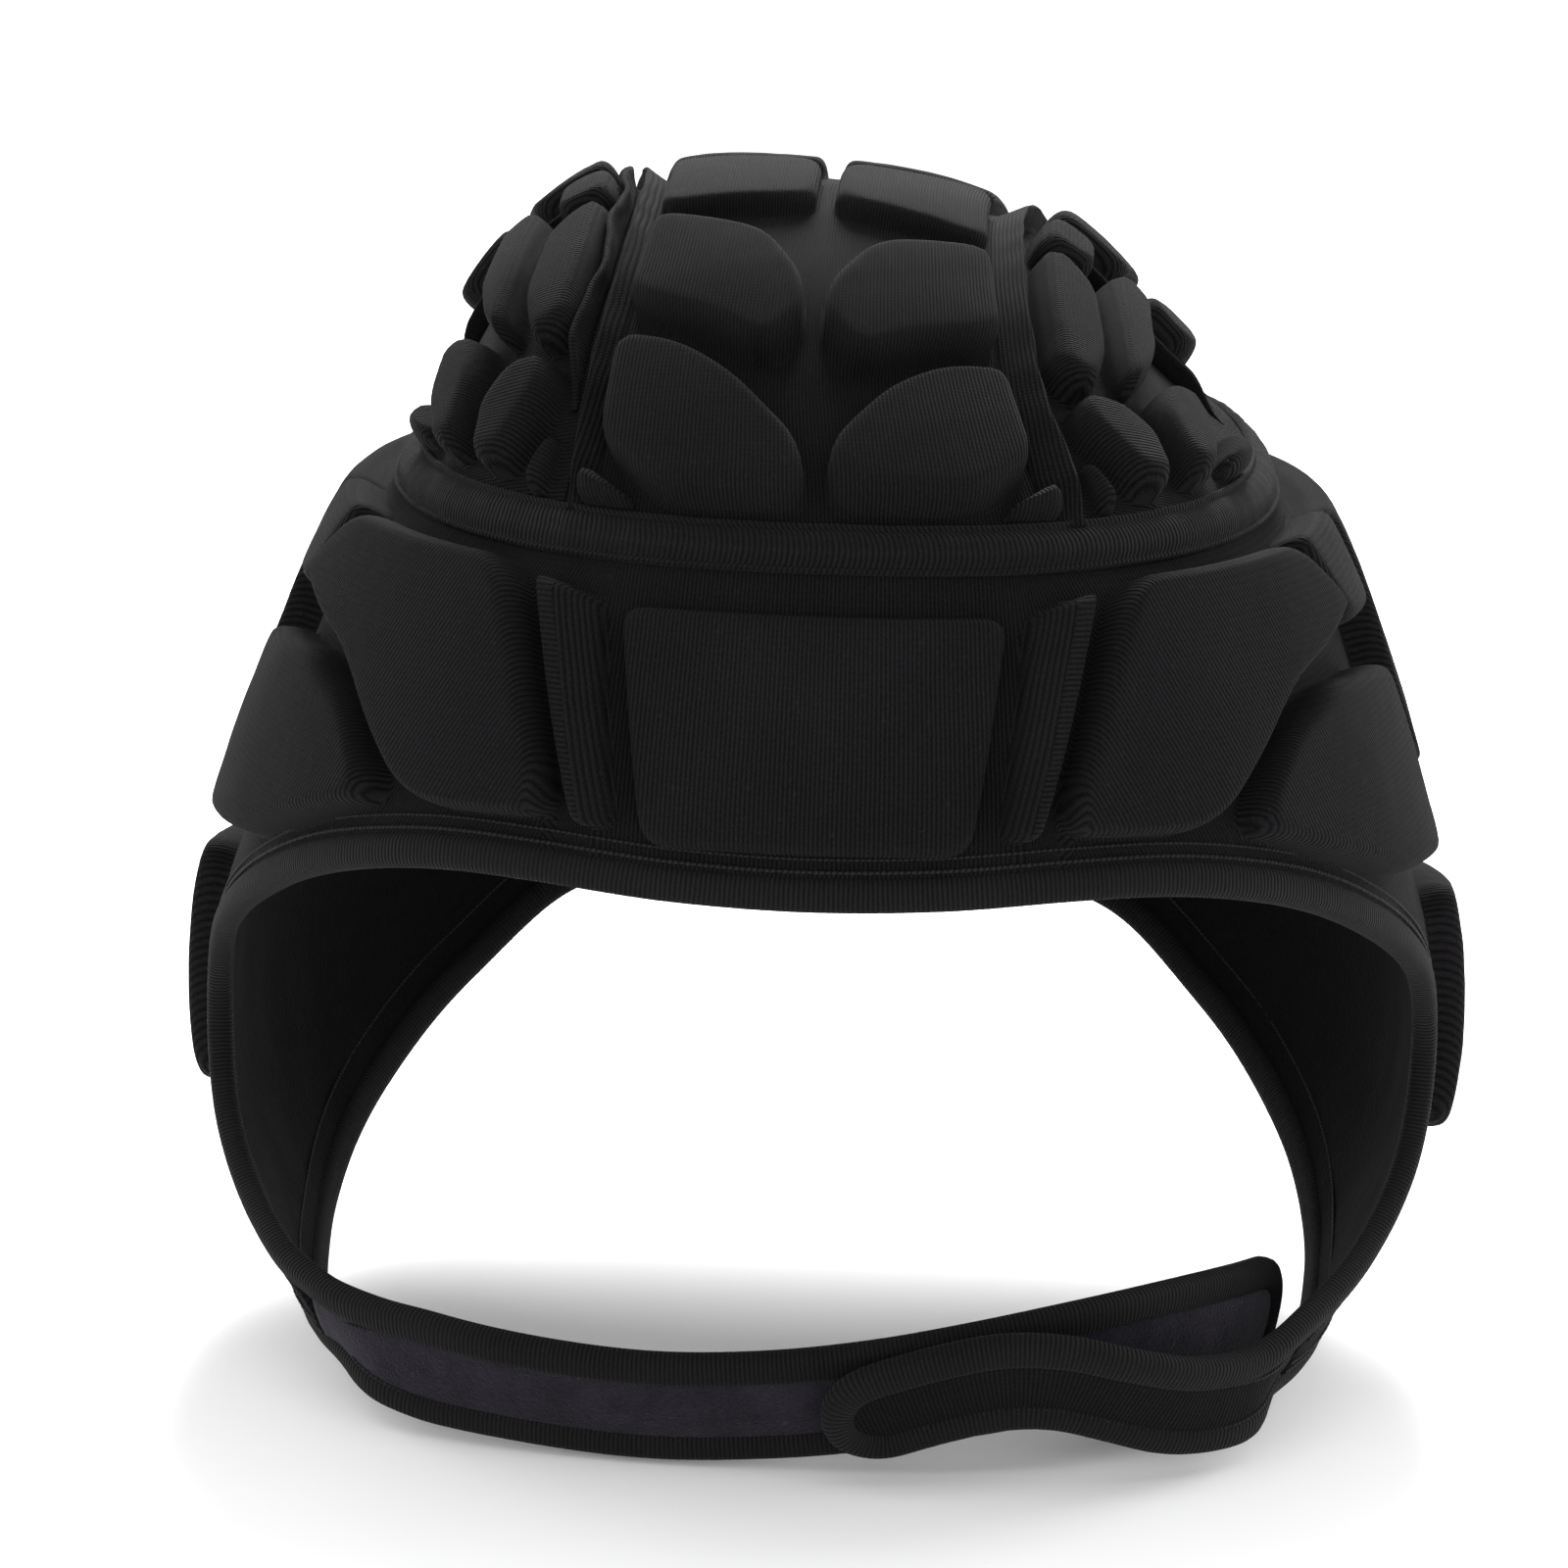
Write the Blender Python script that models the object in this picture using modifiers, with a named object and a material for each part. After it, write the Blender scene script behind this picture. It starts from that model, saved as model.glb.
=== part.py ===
"""Goalkeeper head guard: a padded knit cap with ear flaps and a chin strap.

Metres, +Z up. The face looks along -Y and the wearer's left side is at +X.
The origin is the inside of the top of the cap, where the head touches it.
Angles are in degrees. An azimuth is measured about the upright axis from the
middle of the face, and a drop is the height below the top of the cap.
"""
import math

import bmesh
import bpy
import numpy as np

# Outer size of the knit cap, without the pads
DEPTH = 0.175
HALF_WIDTH = 0.0995
FRONT_REACH = 0.097
BACK_REACH = 0.095
SQUARENESS = 2.4

# The crown leans to -X: how far it moves, its slope, and the drops of the
# level where the lean begins and of the one where it is full
LEAN_REACH = 0.0030
LEAN_SLOPE = 0.075
LEAN_START = 0.0420
LEAN_FULL = 0.0175

# Cloth and trim
CLOTH = 0.0025
GAP = 0.0003
BINDING_RADIUS = 0.0023
SEAM_DROP = 0.24
SEAM_OPENING = 0.0018
SEAM_TAPE_WIDTH = 0.0065
SEAM_TAPE_THICKNESS = 0.0012
CENTER_SEAM_ANGLE = 27.0
CENTER_SEAM_RADIUS = 0.0021
REAR_SEAM_ANGLE = 96.0
REAR_SEAM_RADIUS = 0.0019

# Pads
CROWN_PAD_HEIGHT = 0.0062
BAND_PAD_HEIGHT = 0.0065
CROWN_PAD_ROUNDING = 0.0045
BAND_PAD_ROUNDING = 0.0055
CROWN_PAD_GAP = 0.0006
BAND_PAD_GAP = 0.0009
PAD_FACET = 0.016

# Chin straps
STRAP_WIDTH = 0.0170
TAB_WIDTH = 0.0145
STRAP_THICKNESS = 0.0030
STRAP_JOINT = 0.0020

# Level sections of the cap. Columns: drop (share of DEPTH), half_width
# (share of HALF_WIDTH), front (share of FRONT_REACH, from the middle),
# back (share of BACK_REACH, from the middle), middle (share of BACK_REACH).
SECTIONS = (
    (0.000, 0.000, 0.000, 0.000, 0.153),
    (0.009, 0.201, 0.211, 0.210, 0.150),
    (0.034, 0.337, 0.381, 0.400, 0.137),
    (0.074, 0.437, 0.526, 0.568, 0.116),
    (0.126, 0.523, 0.660, 0.716, 0.095),
    (0.183, 0.603, 0.773, 0.832, 0.074),
    (0.240, 0.688, 0.856, 0.916, 0.053),
    (0.331, 0.784, 0.907, 0.979, 0.032),
    (0.446, 0.864, 0.959, 1.000, 0.021),
    (0.566, 0.935, 0.979, 1.000, 0.000),
    (0.697, 1.000, 1.000, 0.958, 0.000),
    (0.857, 0.990, 0.969, 0.884, -0.021),
    (1.000, 0.874, 0.845, 0.737, -0.053),
    (1.086, 0.774, 0.742, 0.632, -0.063),
)

# Cut edge of the knit over the brow. Columns: azimuth, drop (share of DEPTH).
BROW_EDGE = (
    (0.0, 0.509),
    (12.0, 0.506),
    (24.0, 0.500),
    (34.0, 0.503),
    (44.0, 0.520),
    (53.0, 0.546),
    (62.0, 0.583),
    (70.0, 0.623),
    (77.0, 0.669),
)

# Cut edge of the knit at the nape. Columns: azimuth, drop.
NAPE_EDGE = (
    (146.0, 0.777),
    (155.0, 0.749),
    (166.0, 0.726),
    (180.0, 0.714),
)

# The ear flap, from its root down and forward to the strap. Columns:
# azimuth and drop of its face edge, azimuth and drop of its neck edge.
FLAP_EDGES = (
    (77.0, 0.669, 146.0, 0.777),
    (81.5, 0.726, 134.5, 0.850),
    (82.5, 0.789, 119.0, 0.931),
    (79.5, 0.860, 101.0, 0.993),
    (71.5, 0.925, 81.0, 1.022),
    (60.0, 0.966, 60.0, 1.025),
)

# Pads of the crown, one side. Columns: name, height (share of
# CROWN_PAD_HEIGHT), corners as pairs of the angle to the side and the angle
# over the top, which runs from 0 at the face to 180 at the nape.
CROWN_PADS = (
    ("crown_pad_1", 1.0, ((1.3, 16.9), (16.0, 17.2), (23.2, 23.0), (23.1, 38.0), (15.0, 36.3), (8.5, 31.8),
                          (1.3, 23.5))),
    ("crown_pad_2", 1.0, ((1.1, 49.0), (1.3, 40.5), (5.4, 35.2), (12.4, 39.4), (23.4, 43.8), (22.8, 64.5),
                          (7.0, 59.5))),
    ("crown_pad_3", 0.9, ((1.3, 76.5), (23.0, 71.5), (22.6, 104.0), (1.3, 101.5))),
    ("crown_pad_4", 0.9, ((1.3, 137.5), (8.5, 139.5), (23.2, 135.2), (22.6, 107.5), (1.3, 105.5))),
    ("crown_pad_5", 1.0, ((1.3, 161.8), (17.0, 161.8), (22.4, 154.0), (23.2, 140.2), (9.0, 143.5),
                          (1.3, 141.5))),
    ("crown_corner_pad", 0.8, ((18.4, 17.3), (24.2, 21.1), (25.3, 20.6), (25.2, 17.7), (20.0, 17.2))),
    ("side_pad_1", 1.0, ((29.6, 41.5), (34.6, 39.3), (37.8, 49.0), (37.6, 67.0), (33.5, 73.5), (29.6, 74.0))),
    ("side_pad_2", 1.0, ((40.2, 42.5), (44.8, 50.5), (47.8, 62.0), (47.8, 91.5), (40.6, 91.5), (40.2, 66.0))),
    ("side_pad_3", 1.0, ((34.6, 21.6), (39.3, 22.5), (40.2, 31.5), (36.2, 37.2), (31.0, 36.8), (30.4, 31.5))),
    ("side_pad_4", 1.0, ((43.2, 25.2), (47.6, 27.0), (52.8, 38.0), (52.6, 52.0), (47.2, 51.2), (43.0, 41.0))),
    ("side_pad_5", 0.8, ((52.2, 32.6), (57.0, 34.5), (61.2, 41.0), (60.8, 46.0), (56.4, 45.5), (55.0, 39.5))),
    ("side_pad_6", 1.0, ((29.6, 77.0), (37.6, 76.5), (37.8, 92.0), (29.8, 92.5))),
    ("side_pad_7", 0.7, ((29.6, 27.0), (31.4, 23.0), (32.2, 19.4), (29.6, 18.8))),
    ("rear_side_pad_1", 1.0, ((30.0, 136.0), (40.5, 130.5), (43.0, 121.0), (42.8, 99.8), (30.0, 99.5))),
    ("rear_side_pad_2", 1.0, ((45.6, 129.0), (53.5, 124.0), (57.0, 113.0), (56.5, 100.0), (45.2, 100.0))),
    ("rear_side_pad_3", 1.0, ((30.0, 158.0), (38.5, 155.0), (48.5, 142.5), (45.5, 133.5), (30.0, 141.5))),
)

# Pads of the band, one side. Columns: name, height (share of
# BAND_PAD_HEIGHT), corners as pairs of azimuth and drop.
BAND_PADS = (
    ("brow_strip_pad", 1.10, ((21.2, 0.289), (28.0, 0.279), (19.2, 0.470), (16.8, 0.470))),
    ("temple_pad", 1.25, ((31.5, 0.272), (54.0, 0.274), (63.5, 0.338), (46.5, 0.378),
                          (35.5, 0.474), (21.8, 0.466), (28.2, 0.325))),
    ("cheek_pad", 1.00, ((55.5, 0.384), (75.0, 0.398), (76.5, 0.575), (64.0, 0.562),
                         (40.0, 0.480), (45.5, 0.414))),
    ("upper_side_pad", 0.85, ((60.0, 0.275), (83.0, 0.278), (84.0, 0.370), (68.5, 0.358))),
    ("ear_pad", 0.95, ((87.5, 0.610), (121.0, 0.655), (112.0, 0.890), (89.5, 0.850))),
    ("rear_band_pad", 0.90, ((88.0, 0.290), (134.0, 0.290), (133.0, 0.585), (86.0, 0.520))),
    ("nape_pad", 0.90, ((138.5, 0.290), (178.5, 0.290), (178.5, 0.650), (139.0, 0.620))),
)

# Pad on the middle of the brow. Columns as above.
FOREHEAD_PAD = ("forehead_pad", 0.62, ((-18.6, 0.293), (18.6, 0.293), (14.4, 0.483), (-14.4, 0.483)))

# Section of a pad from the middle of its back to the middle of its front.
# Columns: reach (share of the way to the outline), rise (share of height).
PAD_SECTION = (
    (0.00, 0.00),
    (0.52, 0.00),
    (0.96, 0.00),
    (1.00, 0.45),
    (0.94, 0.88),
    (0.80, 1.00),
    (0.42, 1.03),
    (0.00, 1.04),
)

# Route of the loop strap from the flap at -X. Columns: side (share of
# HALF_WIDTH), forward (share of FRONT_REACH), drop (share of DEPTH), and
# lean, by which the lower edge leans inwards.
LOOP_STRAP = (
    (-0.782, 0.517, 0.996, 8.0),
    (-0.650, 0.630, 1.008, 14.0),
    (-0.460, 0.700, 1.018, 20.0),
    (-0.240, 0.735, 1.024, 22.0),
    (-0.040, 0.742, 1.018, 22.0),
    (0.140, 0.738, 1.004, 20.0),
    (0.300, 0.718, 0.988, 16.0),
    (0.450, 0.668, 0.976, 12.0),
    (0.585, 0.570, 0.975, 8.0),
    (0.685, 0.440, 0.985, 6.0),
    (0.748, 0.290, 1.003, 6.0),
)

# Route of the hook tab from the flap at +X. Columns as above.
HOOK_TAB = (
    (0.782, 0.517, 0.996, 8.0),
    (0.705, 0.632, 1.012, 14.0),
    (0.605, 0.715, 1.008, 22.0),
    (0.505, 0.768, 0.990, 26.0),
    (0.410, 0.792, 0.976, 24.0),
    (0.320, 0.800, 0.976, 22.0),
    (0.220, 0.804, 0.990, 22.0),
    (0.120, 0.806, 1.010, 22.0),
    (0.070, 0.806, 1.024, 22.0),
)

# Colours: red, green, blue
KNIT = (0.014, 0.012, 0.014)
PAD_KNIT = (0.018, 0.016, 0.018)
TRIM = (0.019, 0.019, 0.019)
LOOP_FACE = (0.030, 0.027, 0.033)


def clear_scene():
    for obj in list(bpy.data.objects):
        bpy.data.objects.remove(obj, do_unlink=True)


def make_collection(name):
    collection = bpy.data.collections.new(name)
    bpy.context.scene.collection.children.link(collection)
    return collection


def make_paint(name, colour, roughness):
    paint = bpy.data.materials.new(name)
    paint.use_nodes = True
    shader = paint.node_tree.nodes["Principled BSDF"]
    shader.inputs["Base Color"].default_value = (*colour, 1.0)
    shader.inputs["Roughness"].default_value = roughness
    shader.inputs["Metallic"].default_value = 0.0
    return paint


def smooth_rows(rows, steps, start=None):
    """Points of a smooth curve through table rows, `steps` to a row."""
    table = np.array(rows, dtype=float)
    before = 2 * table[0] - table[1] if start is None else np.array(start, dtype=float)
    after = 2 * table[-1] - table[-2]
    knots = np.vstack([before, table, after])
    out = []
    for k in range(1, len(knots) - 2):
        a, b, c, d = knots[k - 1:k + 3]
        for t in np.arange(steps) / steps:
            out.append(0.5 * (2 * b + (c - a) * t + (2 * a - 5 * b + 4 * c - d) * t ** 2
                              + (3 * b - a - 3 * c + d) * t ** 3))
    out.append(table[-1])
    return np.array(out)


def level_table():
    """Sections in metres: drop, half width, front, back, middle."""
    first = SECTIONS[1]
    mirrored = (first[0], -first[1], -first[2], -first[3], first[4])
    table = smooth_rows(SECTIONS, 40, start=mirrored)
    return table * np.array([DEPTH, HALF_WIDTH, FRONT_REACH, BACK_REACH, BACK_REACH])


LEVELS = level_table()
HEART = np.array([0.0, 0.053 * BACK_REACH, CLOTH - 0.354 * DEPTH])


def level(drop):
    """Half width, front, back and middle of the cap at a drop in metres."""
    return [np.interp(drop, LEVELS[:, 0], LEVELS[:, k]) for k in range(1, 5)]


def band_point(azimuth, drop):
    """Point of the outer cloth at an azimuth and a share of DEPTH."""
    azimuth, drop = np.broadcast_arrays(np.radians(azimuth), np.asarray(drop) * DEPTH)
    half, front, back, middle = level(drop)
    side, ahead = np.sin(azimuth), np.cos(azimuth)
    reach = np.where(ahead > 0, front, back) + 1e-9
    power = (np.abs(side) / (half + 1e-9)) ** SQUARENESS + (np.abs(ahead) / reach) ** SQUARENESS
    radius = power ** (-1 / SQUARENESS)
    return np.stack([radius * side, middle - radius * ahead, CLOTH - drop], axis=-1)


def is_inside(point):
    drop = CLOTH - point[..., 2]
    half, front, back, middle = level(np.maximum(drop, 0))
    depth = point[..., 1] - middle
    reach = np.where(depth < 0, front, back) + 1e-9
    power = (np.abs(point[..., 0]) / (half + 1e-9)) ** SQUARENESS + (np.abs(depth) / reach) ** SQUARENESS
    return (power < 1) & (drop > 0)


def leaned(point):
    """The crown sits a little to one side of the band, as a soft cap does."""
    share = np.clip((LEAN_START - CLOTH + point[..., 2]) / (LEAN_START - LEAN_FULL), 0, 1)
    share = share * share * (3 - 2 * share)
    moved = np.array(point)
    moved[..., 0] = point[..., 0] - LEAN_REACH * share
    moved[..., 2] = point[..., 2] - LEAN_SLOPE * point[..., 0] * share
    return moved


def crown_point(side, over):
    """Point of the outer cloth at an angle to the side and one over the top."""
    side, over = np.broadcast_arrays(np.radians(side), np.radians(over))
    ray = np.stack([np.sin(side), -np.cos(side) * np.cos(over), np.cos(side) * np.sin(over)], axis=-1)
    near = np.zeros(side.shape)
    far = np.full(side.shape, DEPTH)
    for _ in range(36):
        half_way = (near + far) / 2
        inside = is_inside(HEART + ray * half_way[..., None])
        near = np.where(inside, half_way, near)
        far = np.where(inside, far, half_way)
    return leaned(HEART + ray * near[..., None])


def lifted(point_of, first, second, lift):
    """Points raised off the cloth by `lift`, along its outward normal."""
    step = 0.4
    first, second = np.broadcast_arrays(np.asarray(first, float), np.asarray(second, float))
    scale = 0.01 if point_of is band_point else 1.0
    centre = point_of(first, second)
    across = point_of(first + step, second) - point_of(first - step, second)
    along = point_of(first, second + step * scale) - point_of(first, second - step * scale)
    normal = np.cross(across, along)
    normal /= np.linalg.norm(normal, axis=-1, keepdims=True) + 1e-15
    outward = np.sum(normal * (centre - HEART), axis=-1, keepdims=True)
    normal = np.where(outward < 0, -normal, normal)
    return centre + normal * np.asarray(lift)[..., None]


def put_grid(bm, points):
    """Lay a grid primitive through a table of points, rows by columns."""
    rows, columns = points.shape[0] - 1, points.shape[1] - 1
    grid = bmesh.ops.create_grid(bm, x_segments=rows, y_segments=columns, size=1.0)
    for vert in grid["verts"]:
        row = round((vert.co.x + 1) / 2 * rows)
        column = round((vert.co.y + 1) / 2 * columns)
        vert.co = points[row, column]


def face_outwards(bm, heart):
    bmesh.ops.recalc_face_normals(bm, faces=bm.faces[:])
    bm.normal_update()
    away = sum(face.normal.dot(face.calc_center_median() - heart) * face.calc_area() for face in bm.faces)
    if away < 0:
        bmesh.ops.reverse_faces(bm, faces=bm.faces[:])


def finish(name, bm, collection, paint):
    mesh = bpy.data.meshes.new(name)
    bm.to_mesh(mesh)
    bm.free()
    mesh.shade_smooth()
    mesh.set_sharp_from_angle(angle=math.radians(50))
    obj = bpy.data.objects.new(name, mesh)
    collection.objects.link(obj)
    mesh.materials.append(paint)
    return obj


def make_sheet(name, grids, thickness, offset, collection, paint):
    """A cloth piece: grids welded to one open sheet, then given thickness."""
    bm = bmesh.new()
    for points in grids:
        put_grid(bm, points)
    bmesh.ops.remove_doubles(bm, verts=bm.verts[:], dist=0.00002)
    middle = sum((vert.co for vert in bm.verts), start=bm.verts[:][0].co * 0) / len(bm.verts)
    middle.y = HEART[1]
    middle.x = 0.0
    if middle.z > HEART[2]:
        middle.z = HEART[2]
    face_outwards(bm, middle)
    obj = finish(name, bm, collection, paint)
    shell = obj.modifiers.new("Thickness", "SOLIDIFY")
    shell.thickness = thickness
    shell.offset = offset
    return obj


def make_tube(name, route, radius, sides, collection, paint, closed=False):
    """A round bead or binding along a route of points."""
    curve = bpy.data.curves.new(name, "CURVE")
    curve.dimensions = "3D"
    curve.bevel_depth = radius
    curve.bevel_resolution = sides // 2 - 2
    curve.use_fill_caps = not closed
    spline = curve.splines.new("POLY")
    spline.points.add(len(route) - 1)
    for point, place in zip(spline.points, route):
        point.co = (*place, 1.0)
    spline.use_cyclic_u = closed
    obj = bpy.data.objects.new(name, curve)
    collection.objects.link(obj)
    curve.materials.append(paint)
    return obj


def outline_points(corners, scale, rounding, points_per_corner):
    """Outline of a pad with its corners rounded, in the table's own units."""
    flat = np.array(corners, dtype=float) * scale
    out = []
    count = len(flat)
    last_end = None
    for k in range(count + 1):
        k %= count
        here = flat[k]
        to_last = flat[k - 1] - here
        to_next = flat[(k + 1) % count] - here
        last_length = np.linalg.norm(to_last)
        next_length = np.linalg.norm(to_next)
        cut = min(rounding, 0.40 * last_length, 0.40 * next_length)
        start = here + to_last / last_length * cut
        end = here + to_next / next_length * cut
        if last_end is not None:
            pieces = math.ceil(np.linalg.norm(start - last_end) / PAD_FACET)
            out += [last_end + (start - last_end) * step / pieces for step in range(pieces + 1)]
            if points_per_corner == 3:
                out.append(0.25 * start + 0.5 * here + 0.25 * end)
        last_end = end
    return np.array(out) / scale


def make_pad(name, point_of, corners, height, points_per_corner, collection, paint):
    """A moulded pad: a ball primitive pressed to an outline on the cloth."""
    mean = np.mean(np.array(corners, dtype=float), axis=0)
    if point_of is band_point:
        scale = np.array([math.radians(1) * HALF_WIDTH, DEPTH])
        gap, rounding = BAND_PAD_GAP, BAND_PAD_ROUNDING
    else:
        radius = np.linalg.norm(crown_point(mean[0], mean[1]) - HEART)
        turned = math.radians(1) * radius
        scale = np.array([turned, turned * math.cos(math.radians(mean[0]))])
        gap, rounding = CROWN_PAD_GAP, CROWN_PAD_ROUNDING
    outline = outline_points(corners, scale, rounding, points_per_corner)
    centre = outline.mean(axis=0)
    around = len(outline)
    rings = len(PAD_SECTION) - 1
    bm = bmesh.new()
    ball = bmesh.ops.create_uvsphere(bm, u_segments=around, v_segments=rings, radius=1.0)
    for vert in ball["verts"]:
        ring = round((math.asin(max(-1.0, min(1.0, vert.co.z))) / math.pi + 0.5) * rings)
        turn = round(math.atan2(vert.co.y, vert.co.x) / math.tau * around) % around
        reach, rise = PAD_SECTION[ring]
        spot = centre + (outline[turn] - centre) * reach
        vert.co = lifted(point_of, spot[0], spot[1], gap + rise * height)
    bmesh.ops.recalc_face_normals(bm, faces=bm.faces[:])
    if bm.calc_volume(signed=True) < 0:
        bmesh.ops.reverse_faces(bm, faces=bm.faces[:])
    return finish(name, bm, collection, paint)


def mirrored(corners, side):
    return tuple((side * first, second) for first, second in corners)


def flap_grid(side, across, steps):
    """Rows of points down an ear flap, from its root to the strap."""
    rows = smooth_rows(FLAP_EDGES, steps)
    share = np.linspace(0, 1, across + 1)
    azimuth = rows[:, 0:1] + (rows[:, 2:3] - rows[:, 0:1]) * share
    drop = rows[:, 1:2] + (rows[:, 3:4] - rows[:, 1:2]) * share
    return lifted(band_point, side * azimuth, drop, 0.0)


def band_grid(rows, across):
    """Points of the band from the seam to its lower edge, all the way round."""
    brow = smooth_rows(BROW_EDGE, 1)
    nape = smooth_rows(NAPE_EDGE, 1)
    root = FLAP_EDGES[0]
    share = np.linspace(0, 1, across + 1)[1:-1]
    flap = np.stack([root[0] + (root[2] - root[0]) * share, root[1] + (root[3] - root[1]) * share], axis=1)
    half = np.vstack([brow, flap, nape])
    left = half[1:][::-1] * np.array([-1, 1])
    edge = np.vstack([left, half])
    top = SEAM_DROP + 0.5 * SEAM_OPENING / DEPTH
    down = np.linspace(0, 1, rows + 1)
    azimuth = np.repeat(edge[:, 0:1], rows + 1, axis=1)
    drop = top + (edge[:, 1:2] - top) * down
    return lifted(band_point, azimuth, drop, 0.0)


def seam_over_angle(side):
    """Angle over the top at which the crown reaches the seam, at the front."""
    low, high = -30.0, 89.0
    for _ in range(30):
        half_way = (low + high) / 2
        drop = (CLOTH - crown_point(side, half_way)[2]) / DEPTH
        if drop > SEAM_DROP - 0.5 * SEAM_OPENING / DEPTH:
            low = half_way
        else:
            high = half_way
    return high


def seam_back_angle(side):
    low, high = 91.0, 210.0
    for _ in range(30):
        half_way = (low + high) / 2
        drop = (CLOTH - crown_point(side, half_way)[2]) / DEPTH
        if drop < SEAM_DROP - 0.5 * SEAM_OPENING / DEPTH:
            low = half_way
        else:
            high = half_way
    return low


def center_panel_grid(across, along):
    """The strip over the top of the head, between its two seams."""
    reach = CENTER_SEAM_ANGLE - 0.6
    sides = np.linspace(-reach, reach, across + 1)
    share = np.linspace(0, 1, along + 1)
    points = []
    for side in sides:
        front, back = seam_over_angle(side), seam_back_angle(side)
        points.append(crown_point(np.full(along + 1, side), front + (back - front) * share))
    return np.array(points)


def side_panel_grid(side, across, along):
    """A half moon between the centre panel's seam and the crown seam."""
    inner = CENTER_SEAM_ANGLE + 0.6
    front, back = seam_over_angle(inner), seam_back_angle(inner)
    top = SEAM_DROP - 0.5 * SEAM_OPENING / DEPTH
    ends = [crown_point(inner, angle) for angle in (front, back)]
    middle = level(np.array(top * DEPTH))[3]
    start, stop = [math.degrees(math.atan2(end[0], middle - end[1])) for end in ends]
    share = np.linspace(0, 1, along + 1)
    seam = band_point(start + (stop - start) * share, top)
    toward = seam - HEART
    toward /= np.linalg.norm(toward, axis=-1, keepdims=True)
    seam_side = np.degrees(np.arcsin(toward[:, 0]))
    seam_over = np.degrees(np.arctan2(toward[:, 2], -toward[:, 1]))
    lip_over = front + (back - front) * share
    down = np.linspace(0, 1, across + 1)[:, None]
    angles = inner + (seam_side - inner) * down
    over = lip_over + (seam_over - lip_over) * down
    points = crown_point(side * angles, over)
    points[-1] = seam * np.array([side, 1, 1])
    return points


def tape_grid(segments):
    """The flat tape over the crown seam, all the way round."""
    azimuth = np.linspace(-180, 180, segments + 1)
    half = 0.5 * SEAM_TAPE_WIDTH / DEPTH * 0.85
    return np.stack([lifted(band_point, azimuth, SEAM_DROP + half, 2 * GAP),
                     lifted(band_point, azimuth, SEAM_DROP - half, 2 * GAP)], axis=0)


def beside(route, azimuth_drop, distance):
    """Points a distance outside an edge, half way through the cloth."""
    points = lifted(band_point, azimuth_drop[:, 0], azimuth_drop[:, 1], -CLOTH / 2)
    outer = lifted(band_point, azimuth_drop[:, 0], azimuth_drop[:, 1], CLOTH)
    normal = outer - points
    normal /= np.linalg.norm(normal, axis=-1, keepdims=True)
    tangent = np.gradient(points, axis=0)
    across = np.cross(normal, tangent)
    across /= np.linalg.norm(across, axis=-1, keepdims=True)
    return points + across * distance * route


def face_edge_rows(steps):
    """Azimuth and drop along the face edge, from the flap at -X to +X."""
    flap = smooth_rows([(row[0], row[1]) for row in FLAP_EDGES], steps)
    half = np.vstack([np.array(BROW_EDGE), flap[1:]])
    return np.vstack([half[1:][::-1] * np.array([-1, 1]), half])


def neck_edge_rows(steps):
    """Azimuth and drop along the neck edge, by way of the nape."""
    flap = smooth_rows([(row[2], row[3]) for row in FLAP_EDGES], steps)
    half = np.vstack([flap[::-1][:-1], np.array(NAPE_EDGE)])
    other = half[:-1][::-1] * np.array([-1, 1]) + np.array([360.0, 0.0])
    return np.vstack([half, other])


def strap_grid(side, rows, width, steps):
    """Points of a strap from the tip of a flap: upper edge, middle, lower edge."""
    table = smooth_rows(rows, steps)
    middle = np.stack([table[:, 0] * HALF_WIDTH, -table[:, 1] * FRONT_REACH,
                       CLOTH - table[:, 2] * DEPTH], axis=-1)
    tip = FLAP_EDGES[-1]
    joint = math.degrees(STRAP_JOINT / HALF_WIDTH)
    ends = lifted(band_point, side * (tip[0] - joint), [tip[1], tip[3]], -CLOTH / 2)
    middle[0] = (ends[0] + ends[1]) / 2
    tangent = np.gradient(middle, axis=0)
    level_normal = np.stack([-tangent[:, 1], tangent[:, 0], 0 * tangent[:, 0]], axis=-1)
    level_normal /= np.linalg.norm(level_normal, axis=-1, keepdims=True)
    inward = np.sum(level_normal * (np.array([0.0, 0.0, 0.0]) - middle), axis=-1, keepdims=True)
    level_normal = np.where(inward < 0, -level_normal, level_normal)
    lean = np.radians(table[:, 3:4])
    down = np.array([0.0, 0.0, -1.0]) * np.cos(lean) + level_normal * np.sin(lean)
    tangent /= np.linalg.norm(tangent, axis=-1, keepdims=True)
    down -= tangent * np.sum(down * tangent, axis=-1, keepdims=True)
    down[0] = ends[1] - ends[0]
    down /= np.linalg.norm(down, axis=-1, keepdims=True)
    return np.stack([middle - down * width / 2, middle, middle + down * width / 2], axis=1)


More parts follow.
